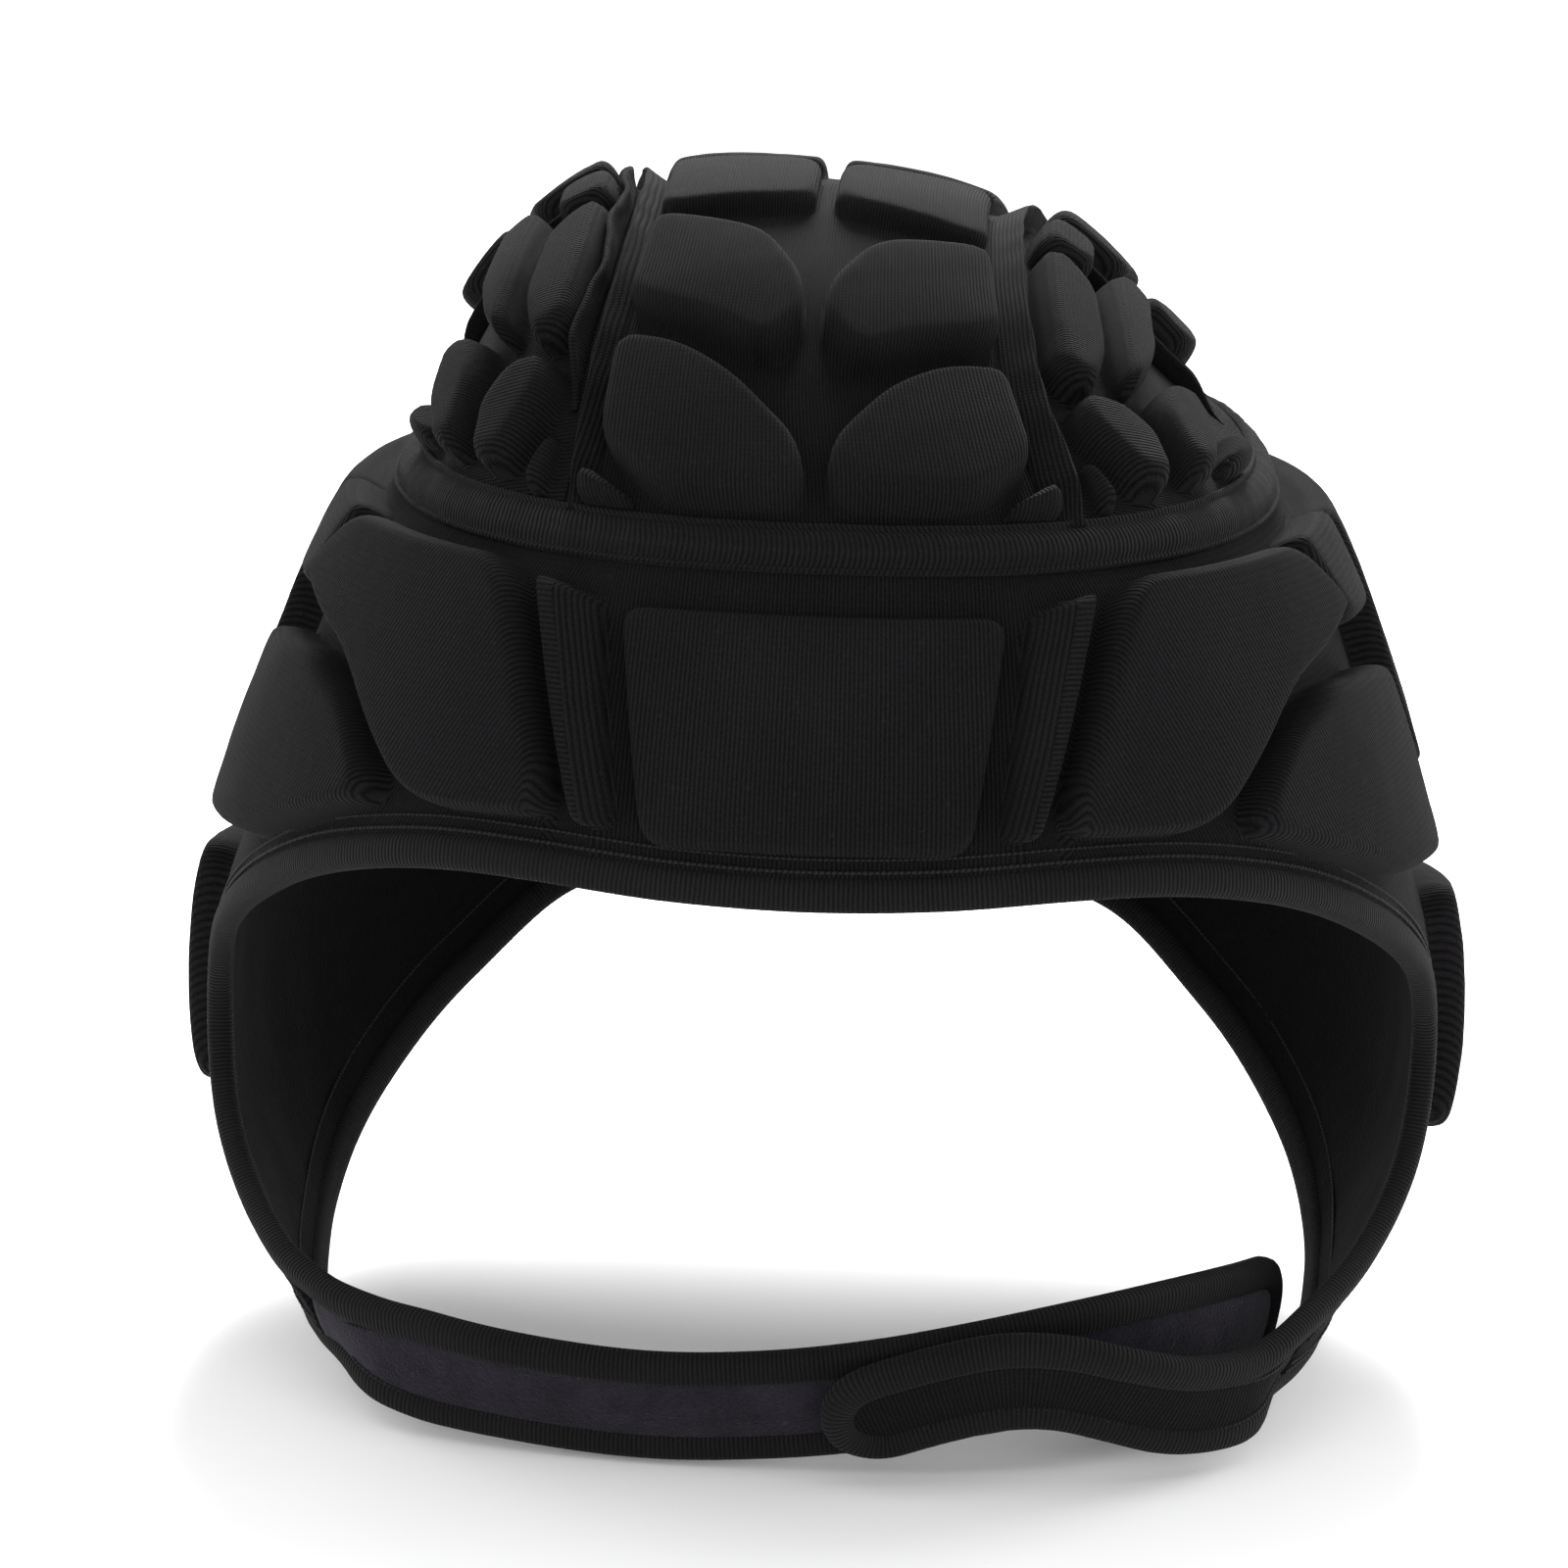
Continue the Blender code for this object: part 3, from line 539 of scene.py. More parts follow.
def thread_finish(name, *look):
    """Sewing thread: plies twisted round it, with painted shade between them."""
    finish = Finish(name, 0.02, (0.9, 0.9, 0.9))
    along, across = finish.thread()
    ply = abs((along * (math.pi / PLY_PITCH) + across * 900.0).sine())
    fuzz = finish.cloud(2600.0, 1.0)
    # Painted shade: the colour is darker in the grooves between the plies, where the bump's hollows
    # fall in shade.
    share = ply * 0.8 + (fuzz - 0.5) * 0.4
    return finish.show(share, 0.62 + fuzz * 0.2, ply, *look)


def floor_finish(name, *look):
    """Plain pale floor."""
    finish = Finish(name, 0.0, (1.0, 1.0, 1.0))
    grain = finish.cloud(30.0)
    return finish.show(grain, 0.7 + grain * 0.1, grain, *look)


# Finishes: name, darkest and lightest colour, height of the relief
KNIT = knit_finish(
    "black rib knit", (0.0007, 0.0006, 0.0008), (0.0078, 0.0070, 0.0079), 0.00036)
PAD_KNIT = knit_finish(
    "black rib knit on foam", (0.0009, 0.0008, 0.0010), (0.0094, 0.0085, 0.0095), 0.00032)
LINING = brushed_finish(
    "black brushed lining", (0.0008, 0.0007, 0.0009), (0.0046, 0.0043, 0.0047), 0.00035)
BINDING = binding_finish(
    "black ribbed binding", (0.0009, 0.0009, 0.0010), (0.0110, 0.0108, 0.0114), 0.00028)
COVER_STITCH = cover_stitch_finish(
    "black cover stitch", (0.0008, 0.0008, 0.0009), (0.0092, 0.0090, 0.0095), 0.00040)
VELVET = velvet_finish(
    "black loop velvet", (0.0024, 0.0021, 0.0032), (0.0230, 0.0205, 0.0285), 0.00035)
THREAD = thread_finish(
    "black thread", (0.0010, 0.0010, 0.0011), (0.0150, 0.0150, 0.0155), 0.00015)
FLOOR = floor_finish("pale floor", (0.93, 0.93, 0.93), (0.95, 0.95, 0.95), 0.0)


# ---- meshes

def put_mesh(name, points, faces, threads, paints):
    """A mesh from points, faces and the metres of thread at their corners."""
    mesh = bpy.data.meshes.new(name)
    mesh.from_pydata([tuple(p) for p in points], [], [tuple(f) for f in faces])
    layer = mesh.uv_layers.new(name="thread")
    pairs = np.array([pair for corners in threads for pair in corners], dtype=np.float32)
    layer.data.foreach_set("uv", pairs.ravel())
    for paint in paints:
        mesh.materials.append(paint)
    mesh.shade_smooth()
    obj = bpy.data.objects.new(name, mesh)
    bpy.context.scene.collection.objects.link(obj)
    return obj


def weld(obj, distance=0.00002):
    """Merge doubles, and turn the faces outwards, those of open cloth away from HEART."""
    bm = bmesh.new()
    bm.from_mesh(obj.data)
    bmesh.ops.remove_doubles(bm, verts=bm.verts[:], dist=distance)
    bmesh.ops.recalc_face_normals(bm, faces=bm.faces[:])
    if all(edge.is_manifold for edge in bm.edges):
        out = bm.calc_volume(signed=True)
    else:
        out = sum(face.normal.dot(face.calc_center_median() - Vector(HEART)) for face in bm.faces)
    if out < 0:
        bmesh.ops.reverse_faces(bm, faces=bm.faces[:])
    bm.to_mesh(obj.data)
    bm.free()


def attach(obj, nodes=()):
    """Say what a piece rides on, and hide the parts it stands for."""
    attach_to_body(obj, "root")
    if nodes:
        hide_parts(*nodes)


def grid_faces(rows, columns):
    """Corner numbers of a grid of points, rows by columns."""
    row, column = np.meshgrid(np.arange(rows - 1), np.arange(columns - 1), indexing="ij")
    first = (row * columns + column).ravel()
    return np.stack([first, first + 1, first + columns + 1, first + columns], axis=1)


def cloth_shell(name, tables):
    """Grids of points and threads welded to one knit cloth, then lined and given thickness."""
    points, faces, threads, start = [], [], [], 0
    for table, lay in tables:
        rows, columns = table.shape[:2]
        quads = grid_faces(rows, columns)
        points.append(table.reshape(-1, 3))
        faces.append(quads + start)
        threads.append(lay.reshape(-1, 2)[quads])
        start += rows * columns
    obj = put_mesh(name, np.concatenate(points), np.concatenate(faces),
                   np.concatenate(threads), [KNIT, LINING, KNIT])
    weld(obj)
    shell = obj.modifiers.new("Thickness", "SOLIDIFY")
    shell.thickness = CLOTH
    shell.offset = -1
    shell.material_offset = 1
    shell.material_offset_rim = 2
    bpy.context.view_layer.objects.active = obj
    bpy.ops.object.modifier_apply(modifier=shell.name)
    return obj


def walked(points):
    """Metres along a line, at each of its points."""
    return np.concatenate([[0.0], np.cumsum(np.linalg.norm(np.diff(points, axis=0), axis=1))])


def swept(name, rings, paint, closed=False, across_start=0.0):
    """A closed section carried along a route: rings of points, route by section."""
    count, around = rings.shape[:2]
    middle = rings.mean(axis=1)
    section = rings[count // 2]
    along = walked(np.vstack([middle, middle[:1]]))
    across = walked(np.vstack([section, section[:1]])) - across_start
    steps = count if closed else count - 1
    row, column = np.meshgrid(np.arange(steps), np.arange(around), indexing="ij")
    row, column = row.ravel(), column.ravel()
    corners = ((0, 0), (0, 1), (1, 1), (1, 0))
    quads = np.stack([(row + r) % count * around + (column + c) % around
                      for r, c in corners], axis=1)
    lay = np.stack([np.stack([along[row + r], across[column + c]], -1) for r, c in corners], axis=1)
    faces, threads, points = list(quads), list(lay), list(rings.reshape(-1, 3))
    if not closed:
        for ring in (0, count - 1):
            points.append(middle[ring])
            hub = len(points) - 1
            for k in range(around):
                faces.append((ring * around + k, ring * around + (k + 1) % around, hub))
                threads.append(((along[ring], across[k]), (along[ring], across[k + 1]),
                                (along[ring], 0.0)))
    obj = put_mesh(name, points, faces, threads, [paint])
    weld(obj, 0.000005)
    return obj


def carried(table, section):
    """Rings of a flat section along a route. Section: metres sideways and up."""
    route = table[:, :3]
    tangent = unit(np.gradient(route, axis=0))
    up = square_to(tangent, table[:, 3:])
    side = np.cross(up, tangent)
    section = np.array(section)
    return (route[:, None] + side[:, None] * section[None, :, 0:1]
            + up[:, None] * section[None, :, 1:2])


def oval(half_width, half_thickness, count, squareness):
    """A section between an ellipse and a rounded box."""
    angle = np.arange(count) / count * math.tau
    c, s = np.cos(angle), np.sin(angle)
    return np.stack([half_width * np.sign(c) * np.abs(c) ** (2 / squareness),
                     half_thickness * np.sign(s) * np.abs(s) ** (2 / squareness)], axis=1)


def even_route(points, spacing, closed=False):
    """A polyline cut again into even steps, with what is carried along it."""
    if closed:
        points = np.vstack([points, points[:1]])
    walk = walked(points[:, :3])
    count = max(4, int(walk[-1] / spacing))
    marks = np.linspace(0, walk[-1], count + 1)
    out = np.stack([np.interp(marks, walk, column) for column in points.T], axis=1)
    return out[:-1] if closed else out


# ---- cloth

def band_thread(azimuth, drop):
    """Threads of the band: upright in front, leaning at the sides."""
    turn = np.abs(azimuth)
    lean = 0.55 * hump(turn, 19.0, 24.0, 136.0, 150.0)
    across = BAND_DEGREE * azimuth - np.sign(azimuth) * lean * (drop * DEPTH - 0.05)
    return np.stack([across, drop * DEPTH], axis=-1)


def crown_thread(side, over):
    """Threads of the centre panel, which run over the top."""
    return np.stack([CROWN_DEGREE * side, CROWN_DEGREE * over], axis=-1)


def side_thread(side, over):
    """Threads of the side panels, which run outwards from the seam."""
    return np.stack([SIDE_DEGREE * over, CROWN_DEGREE * side], axis=-1)


def angles_of(points):
    """Angles to the side and over the top at which points are seen from HEART."""
    toward = unit(points - HEART)
    side = np.degrees(np.arcsin(toward[:, 0]))
    return side, np.degrees(np.arctan2(toward[:, 2], -toward[:, 1]))


def relay(obj, thread):
    """Lay the threads of a piece again, from where its points are."""
    mesh = obj.data
    points = np.empty(len(mesh.vertices) * 3)
    mesh.vertices.foreach_get("co", points)
    corners = np.empty(len(mesh.loops), dtype=np.int32)
    mesh.loops.foreach_get("vertex_index", corners)
    lay = thread(*angles_of(points.reshape(-1, 3)))[corners]
    mesh.uv_layers["thread"].data.foreach_set("uv", lay.astype(np.float32).ravel())


def seam_over_angle(side, front=True):
    """Angle over the top at which the crown reaches the seam."""
    side = np.atleast_1d(np.asarray(side, float))
    limits = (-30.0, 89.0) if front else (91.0, 210.0)

    def goes_on(over):
        drop = (CLOTH - crown_point(side, over)[..., 2]) / DEPTH
        return (drop > SEAM_DROP - SEAM_GAP) == front

    low, high = halved(*(np.full(side.shape, limit) for limit in limits), goes_on, 26)
    return high if front else low


def make_crown_center():
    """The centre panel, from the brow's seam over the top to the nape's."""
    edge = CENTER_SEAM_ANGLE - SEAM_ALLOWANCE
    sides = np.linspace(-edge, edge, 54)
    front, back = seam_over_angle(sides), seam_over_angle(sides, False)
    share = np.linspace(0, 1, 131)[:, None]
    over = between(front, back, share)
    side = np.broadcast_to(sides, over.shape)
    base = crown_point(side, over)
    table = lifted(crown_point, side, over, 0.00012 * ripple(base, 0.016, 1.0))
    obj = cloth_shell("crown_center_knit", [(table, crown_thread(side, over))])
    attach(obj, ["crown_center_panel"])


def make_crown_side(sign, word):
    """A half-moon panel, from the centre seam out to the crown seam."""
    inner = CENTER_SEAM_ANGLE + SEAM_ALLOWANCE
    front, back = seam_over_angle(inner)[0], seam_over_angle(inner, False)[0]
    top = SEAM_DROP - SEAM_GAP
    ends = [crown_point(inner, angle) for angle in (front, back)]
    middle = level(np.array(top * DEPTH))[3]
    start, stop = [math.degrees(math.atan2(end[0], middle - end[1])) for end in ends]
    share = np.linspace(0, 1, 121)
    seam = band_point(between(start, stop, share), top)
    seam_side, seam_over = angles_of(seam)
    down = np.linspace(0, 1, 41)[:, None]
    angles = between(inner, seam_side, down)
    over = between(between(front, back, share), seam_over, down)
    base = crown_point(sign * angles, over)
    table = lifted(crown_point, sign * angles, over, 0.00012 * ripple(base, 0.014, 2.0))
    table[-1] = seam * np.array([sign, 1, 1])
    obj = cloth_shell(f"crown_side_knit_{word}", [(table, side_thread(angles, over))])
    attach(obj, [f"crown_side_panel_{word}"])


def make_band():
    """The band and its two ear flaps, welded to one cloth."""
    brow = smooth_rows(BROW_EDGE, 8)
    nape = smooth_rows(NAPE_EDGE, 12)
    root = FLAP_EDGES[0]
    share = np.linspace(0, 1, 65)
    flap = np.stack([between(root[k], root[k + 2], share[1:-1]) for k in (0, 1)], axis=1)
    half = np.vstack([brow, flap, nape])
    edge = np.vstack([half[1:][::-1] * np.array([-1, 1]), half])
    tables = []

    def lay_out(azimuth, drop, uneven):
        lift = uneven * ripple(band_point(azimuth, drop), 0.017, 3.0)
        tables.append((lifted(band_point, azimuth, drop, lift), band_thread(azimuth, drop)))

    top = SEAM_DROP + SEAM_GAP
    down = np.linspace(0, 1, 45)
    azimuth = np.repeat(edge[:, 0:1], len(down), axis=1)
    lay_out(azimuth, between(top, edge[:, 1:2], down), 0.00014 * (1 - ease(down, 0.93, 1.0)))
    rows = smooth_rows(FLAP_EDGES, 12)
    smooth_root = ease(np.arange(len(rows)), 0, 5)[:, None]
    for sign in (-1, 1):
        azimuth, drop = (between(rows[:, k:k + 1], rows[:, k + 2:k + 3], share) for k in (0, 1))
        lay_out(sign * azimuth, drop, 0.00018 * smooth_root)
    obj = cloth_shell("band_knit", tables)
    attach(obj, ["band_panel"])


# ---- pads

def rounded_outline(corners, rounding, spacing):
    """A closed outline with its corners rounded, in even steps."""
    flat = np.array(corners, dtype=float)
    out = []
    for k, here in enumerate(flat):
        to_last = flat[k - 1] - here
        to_next = flat[(k + 1) % len(flat)] - here
        cut = min(rounding, 0.42 * np.linalg.norm(to_last), 0.42 * np.linalg.norm(to_next))
        start, end = here + unit(to_last) * cut, here + unit(to_next) * cut
        for t in np.linspace(0, 1, 9):
            out.append((1 - t) ** 2 * start + 2 * t * (1 - t) * here + t ** 2 * end)
    return even_route(np.array(out), spacing, closed=True)


def distance_to(points, outline):
    """Distance of each point to a closed outline."""
    step = np.roll(outline, -1, axis=0) - outline
    away = points[:, None] - outline[None]
    share = np.clip(np.sum(away * step, axis=-1) / (np.sum(step * step, axis=-1) + 1e-15), 0, 1)
    return np.linalg.norm(away - step * share[..., None], axis=-1).min(axis=1)


def pad_rings(outline, centre, reach):
    """Rings of a pad, laid flat: two of its hem, then inwards to its middle."""
    tangent = np.roll(outline, -1, axis=0) - np.roll(outline, 1, axis=0)
    normal = unit(np.stack([tangent[:, 1], -tangent[:, 0]], axis=1))
    if np.sum(normal * (outline - centre)) < 0:
        normal = -normal
    insets = [inset for inset in PAD_INSETS if inset < 0.75 * reach]
    steps = max(4, int((reach - insets[-1]) / PAD_STEP))
    insets += list(np.linspace(insets[-1], reach * 0.94, steps))[1:]
    rings = [outline + normal * out for out in PAD_HEM_OUT]
    rings += [centre + (outline - centre) * (1 - inset / reach) for inset in insets]
    return np.array(rings)


def pad_faces(count, around):
    """Faces of a pad: its rings, its top, then three rings and a middle below."""
    turn = np.arange(around)
    after = (turn + 1) % around
    faces = []

    def strip(low, high, first, second):
        corners = [low + first, low + second, high + second, high + first]
        faces.extend(np.stack(corners, axis=1).tolist())

    def fan(low, hub, first, second):
        faces.extend(np.stack([low + first, low + second, np.full(around, hub)], axis=1).tolist())

    for k in range(count - 1):
        strip(k * around, (k + 1) * around, turn, after)
    hub = count * around
    fan(hub - around, hub, turn, after)
    below = [0] + [hub + 1 + k * around for k in range(3)]
    for low, high in zip(below, below[1:]):
        strip(low, high, after, turn)
    fan(below[-1], below[-1] + around, after, turn)
    return faces


def face_threads(faces, lie, thread):
    """Threads at the corners of the faces, those of a face worked out together."""
    threads = [None] * len(faces)
    for corners in (3, 4):
        which = [k for k, face in enumerate(faces) if len(face) == corners]
        lays = thread(*np.moveaxis(lie[np.array([faces[k] for k in which])], -1, 0))
        for k, lay in zip(which, lays):
            threads[k] = lay
    return threads


def make_pad(name, point_of, corners, top, thread, shoulder, crown=0.05, rounding=0.0048,
             tilt=None, spacing=0.0015):
    """A moulded pad: rings from its hem on the cloth in to the top of its foam."""
    mean = np.mean(np.array(corners, dtype=float), axis=0)
    if point_of is band_point:
        scale = np.array([math.radians(1) * HALF_WIDTH, DEPTH])
    else:
        radius = np.linalg.norm(crown_point(mean[0], mean[1]) - HEART)
        scale = math.radians(1) * radius * np.array([1.0, math.cos(math.radians(mean[0]))])
    outline = rounded_outline(np.array(corners) * scale, rounding, spacing)
    centre = outline.mean(axis=0)
    reach = np.linalg.norm(outline - centre, axis=1).mean()
    flat = pad_rings(outline, centre, reach)
    count, around = flat.shape[:2]

    inner = flat[len(PAD_HEM_OUT):].reshape(-1, 2)
    deep = distance_to(inner, outline)
    share = np.clip(deep / shoulder, 0, 1)
    rise = (1 - (1 - share) ** 2.5) ** (1 / 2.5)
    broad = np.clip(deep / (0.75 * reach), 0, 1)
    rise = rise * (1 - crown) + crown * np.sqrt(broad * (2 - broad))
    spots = inner / scale
    if tilt is not None:
        rise = rise * tilt(spots)
    base = point_of(spots[:, 0], spots[:, 1])
    uneven = 0.00016 * ripple(base, 0.021, 4.0) + 0.00005 * ripple(base, 0.006, 5.0)
    lifts = PAD_BASE + (top - PAD_BASE) * rise + share * uneven
    top_lift = lifts[-around:].mean() + crown * top * 0.01

    under = np.array([centre + (outline - centre) * s for s in (0.75, 0.45, 0.2)]).reshape(-1, 2)
    lie = np.concatenate([flat.reshape(-1, 2), centre[None], under, centre[None]]) / scale
    lifts = np.concatenate([np.repeat(PAD_HEM_LIFT, around), lifts, [top_lift],
                            np.full(len(under) + 1, PAD_UNDER)])
    points = lifted(point_of, lie[:, 0], lie[:, 1], lifts)
    faces = pad_faces(count, around)
    obj = put_mesh(name + "_knit", points, faces, face_threads(faces, lie, thread), [PAD_KNIT])
    weld(obj, 0.000002)
    attach(obj, [name])


def mirrored(corners, side):
    return tuple((side * first, second) for first, second in corners)


def strip_azimuths(drop, *lines):
    """Azimuths of a brow strip's edges or ridge at a drop."""
    share = np.clip((drop - STRIP_TOP) / (STRIP_FOOT - STRIP_TOP), 0, 1)
    return [between(upper, lower, share) for upper, lower in lines]


def strip_tilt(side):
    """A brow strip is a ridge: its inner slope falls to the forehead pad."""
    def tilt(spots):
        inner, outer = strip_azimuths(spots[:, 1], STRIP_INNER, STRIP_OUTER)
        across = np.clip((side * spots[:, 0] - inner) / (outer - inner), 0, 1)
        return 0.22 + 0.78 * np.clip(across / 0.56, 0, 1) - 0.10 * ease(across, 0.6, 1.0)
    return tilt


def strip_thread(side):
    """Threads lie across the outer face of a brow strip, and along its inner one."""
    def thread(azimuth, drop):
        ridge = strip_azimuths(drop, STRIP_RIDGE)[0]
        outer = np.mean(side * azimuth - ridge, axis=-1) > 0
        upright = np.stack([BAND_DEGREE * (azimuth - side * ridge), drop * DEPTH], axis=-1)
        lying = np.stack([drop * DEPTH, BAND_DEGREE * azimuth], axis=-1)
        return np.where(outer[..., None, None], lying, upright)
    return thread


def make_pads():
    """All the pads: the left side's, the right side's, then the forehead's."""
    for side, word in SIDES:
        for name, height, corners in CROWN_PADS:
            shape = {"shoulder": 0.0022, "crown": 0.06}
            if name in SMALL_PADS:
                shape = {"shoulder": 0.0030, "crown": 0.16, "rounding": 0.0030}
            make_pad(f"{name}_{word}", crown_point, mirrored(corners, side), height * CROWN_PAD_TOP,
                     crown_thread if name.startswith("crown") else side_thread, **shape)
        for name, height, corners in BAND_PADS:
            shape = {"thread": band_thread, "shoulder": 0.0022, "rounding": 0.0062}
            if name == "brow_strip_pad":
                shape = {"thread": strip_thread(side), "shoulder": 0.0016, "rounding": 0.0022,
                         "tilt": strip_tilt(side), "spacing": 0.0007}
            make_pad(f"{name}_{word}", band_point, mirrored(corners, side), height * BAND_PAD_TOP,
                     **shape)
    name, height, corners = FOREHEAD_PAD
    make_pad(name, band_point, corners, height * BAND_PAD_TOP, band_thread, shoulder=0.0020,
             rounding=0.0040)


# ---- seams

def make_center_seams():
    """Raised lips where the centre panel is sewn to the side panels."""
    sections = {
        "right": ((23.9, -0.5), (23.9, 0.15), (24.6, 0.95), (25.6, 2.25), (26.5, 3.45),
                  (27.0, 4.15), (27.25, 4.42), (27.50, 4.35), (27.62, 4.0), (27.68, 3.0),
                  (27.75, 1.6), (28.0, 0.4), (28.4, -0.2), (28.4, -0.6), (26.0, -0.6)),
        "left": ((23.9, -0.5), (23.9, 0.15), (24.4, 0.75), (25.1, 1.70), (25.7, 2.60), (26.0, 3.10),
                 (26.25, 3.30), (26.45, 3.15), (26.55, 2.6), (26.6, 1.6), (26.7, 0.6), (26.9, -0.1),
                 (27.8, -0.4), (27.8, -0.6), (26.0, -0.6)),
    }
    for side, word, sway in ((-1, "left", 0.14), (1, "right", 0.10)):
        front = seam_over_angle(CENTER_SEAM_ANGLE)[0] + 1.2
        back = seam_over_angle(CENTER_SEAM_ANGLE, False)[0] - 1.2
        over = np.linspace(front, back, 260)[:, None]
        ends = hump(over, front, front + 5, back - 5, back)
        wave = np.sin(over * 0.55 + 1.1 * np.sin(over * 0.17)) * sway
        angle, lift = np.array(sections[word]).T
        high = np.clip(lift / 4.0, 0, 1)
        lifts = lift * np.where(lift > 0, 0.35 + 0.65 * ends, 1.0) + 0.10 * wave * high
        rings = lifted(crown_point, side * (angle + wave * high), over, MILLIMETRE * lifts)
        obj = swept(f"center_seam_{word}_lip", rings, KNIT)
        relay(obj, crown_thread)
        attach(obj, [f"center_seam_{word}"])


def make_curled_edge():
    """The side panel's cut edge, which curls up beside the left lip."""
    over = np.linspace(30.0, 150.0, 300)[:, None]
    ends = hump(over, 30.0, 40.0, 140.0, 150.0)
    wave = np.sin(over * 0.21 + 0.9 * np.sin(over * 0.07 + 1.0)) + 0.22 * np.sin(over * 0.66)
    angle, lift = np.array((
        (28.5, -0.5), (28.5, 1.2), (28.45, 2.6), (28.3, 3.7), (28.35, 4.3), (28.65, 4.6),
        (29.0, 4.45), (29.2, 3.7), (29.25, 2.4), (29.5, 1.0), (29.9, 0.2), (30.2, -0.5))).T
    high = np.clip(lift / 4.0, 0, 1) * ends
    raised = lift * (0.15 + 0.85 * ends) + 0.30 * wave * high
    rings = lifted(crown_point, -(angle + 0.42 * wave * high), over,
                   MILLIMETRE * np.where(lift > 0, raised, lift))
    obj = swept("side_panel_curled_edge", rings, KNIT)
    relay(obj, side_thread)
    attach(obj)


def make_rear_seams():
    """Smooth folded seams across the side panels, behind the ears' line."""
    across, lift = np.array((
        (-2.5, -0.5), (-2.6, 1.2), (-2.5, 2.6), (-2.15, 3.25), (-1.75, 3.35), (-1.4, 3.0),
        (0.0, 2.85), (1.4, 3.0), (1.75, 3.35), (2.15, 3.25), (2.5, 2.6), (2.6, 1.2),
        (2.5, -0.5))).T
    angles = np.linspace(30.4, 66.8, 120)[:, None]
    ends = hump(angles, 30.4, 34.0, 58.0, 66.8)
    width = across * (0.45 + 0.55 * ends) * 0.60 / np.cos(np.radians(angles))
    lifts = MILLIMETRE * np.where(lift > 0, lift * (0.06 + 0.94 * ends), lift)
    for side, word in SIDES:
        rings = lifted(crown_point, side * angles, REAR_SEAM_ANGLE + width, lifts)
        obj = swept(f"rear_seam_{word}_fold", rings, LINING)
        attach(obj, [f"rear_seam_{word}"])


def make_seam_tape():
    """The flat seam round the crown: a crowned row of threads over a piping."""
    across, lift = np.array((
        (-3.5, -0.3), (-3.55, 0.35), (-3.35, 0.80), (-3.1, 0.92), (-2.85, 0.78), (-2.65, 0.38),
        (-2.35, 0.55), (-1.8, 1.00), (-1.0, 1.32), (-0.2, 1.42), (0.7, 1.40), (1.5, 1.22),
        (2.2, 0.85), (2.55, 0.42), (2.8, 0.70), (3.05, 0.98), (3.3, 0.92), (3.45, 0.5),
        (3.5, -0.3))).T
    azimuth = np.linspace(-180, 180, 721)[:-1, None]
    uneven = 0.06 * np.sin(np.radians(azimuth) * 37) + 0.04 * np.sin(np.radians(azimuth) * 91)
    rings = lifted(band_point, azimuth, SEAM_DROP - MILLIMETRE * across * 0.92 / DEPTH,
                   MILLIMETRE * (lift + uneven * (lift > 0)) + 0.0002)
    obj = swept("crown_seam_stitches", rings, COVER_STITCH, closed=True, across_start=TAPE_MIDDLE)
    attach(obj, ["crown_seam_tape"])


def edge_route(rows, out, lift, spacing):
    """A route beside a cut edge: its points, with the way out of the cloth."""
    azimuth, drop = rows[:, 0], rows[:, 1]
    centre, normal = outward(band_point, azimuth, drop)
    route = centre + normal * lift
    across = unit(np.cross(normal, np.gradient(route, axis=0)))
    return even_route(np.hstack([route - across * out, normal]), spacing)


def face_edge_rows(steps):
    """Azimuth and drop along the face edge, flap tip to flap tip."""
    half = list(BROW_EDGE) + [(row[0], row[1]) for row in FLAP_EDGES[1:]]
    whole = [(-azimuth, drop) for azimuth, drop in half[1:][::-1]] + half
    return smooth_rows(whole, steps)


def neck_edge_rows(steps):
    """Azimuth and drop along the neck edge, flap tip to flap tip."""
    half = [(row[2], row[3]) for row in FLAP_EDGES[::-1]] + list(NAPE_EDGE[1:])
    whole = half + [(360.0 - azimuth, drop) for azimuth, drop in half[:-1][::-1]]
    return smooth_rows(whole, steps)


# ---- straps

def strap_frame(side, rows, steps):
    """Middle line of a strap, and the ways down and out of it."""
    table = smooth_rows(rows, steps)
    middle = np.stack([table[:, 0] * HALF_WIDTH, -table[:, 1] * FRONT_REACH,
                       CLOTH - table[:, 2] * DEPTH], axis=-1)
    tip = FLAP_EDGES[-1]
    joint = math.degrees(STRAP_JOINT / HALF_WIDTH)
    ends = lifted(band_point, side * (tip[0] - joint), [tip[1], tip[3]], -CLOTH / 2)
    fade = (1 - ease(np.arange(len(table)), 0, steps))[:, None]
    middle = middle + fade * ((ends[0] + ends[1]) / 2 - middle[0])
    tangent = np.gradient(middle, axis=0)
    inward = unit(np.stack([-tangent[:, 1], tangent[:, 0], 0 * tangent[:, 0]], axis=-1))
    toward = np.sum(inward * -middle, axis=-1, keepdims=True)
    inward = np.where(toward < 0, -inward, inward)
    lean = np.radians(table[:, 3:4])
    down = np.array([0.0, 0.0, -1.0]) * np.cos(lean) + inward * np.sin(lean)
    tangent = unit(tangent)
    down = square_to(tangent, down * (1 - fade) + fade * unit(ends[1] - ends[0]))
    out = np.cross(tangent, down)
    out = np.where(np.sum(out * inward, axis=-1, keepdims=True) > 0, -out, out)
    return middle, down, out


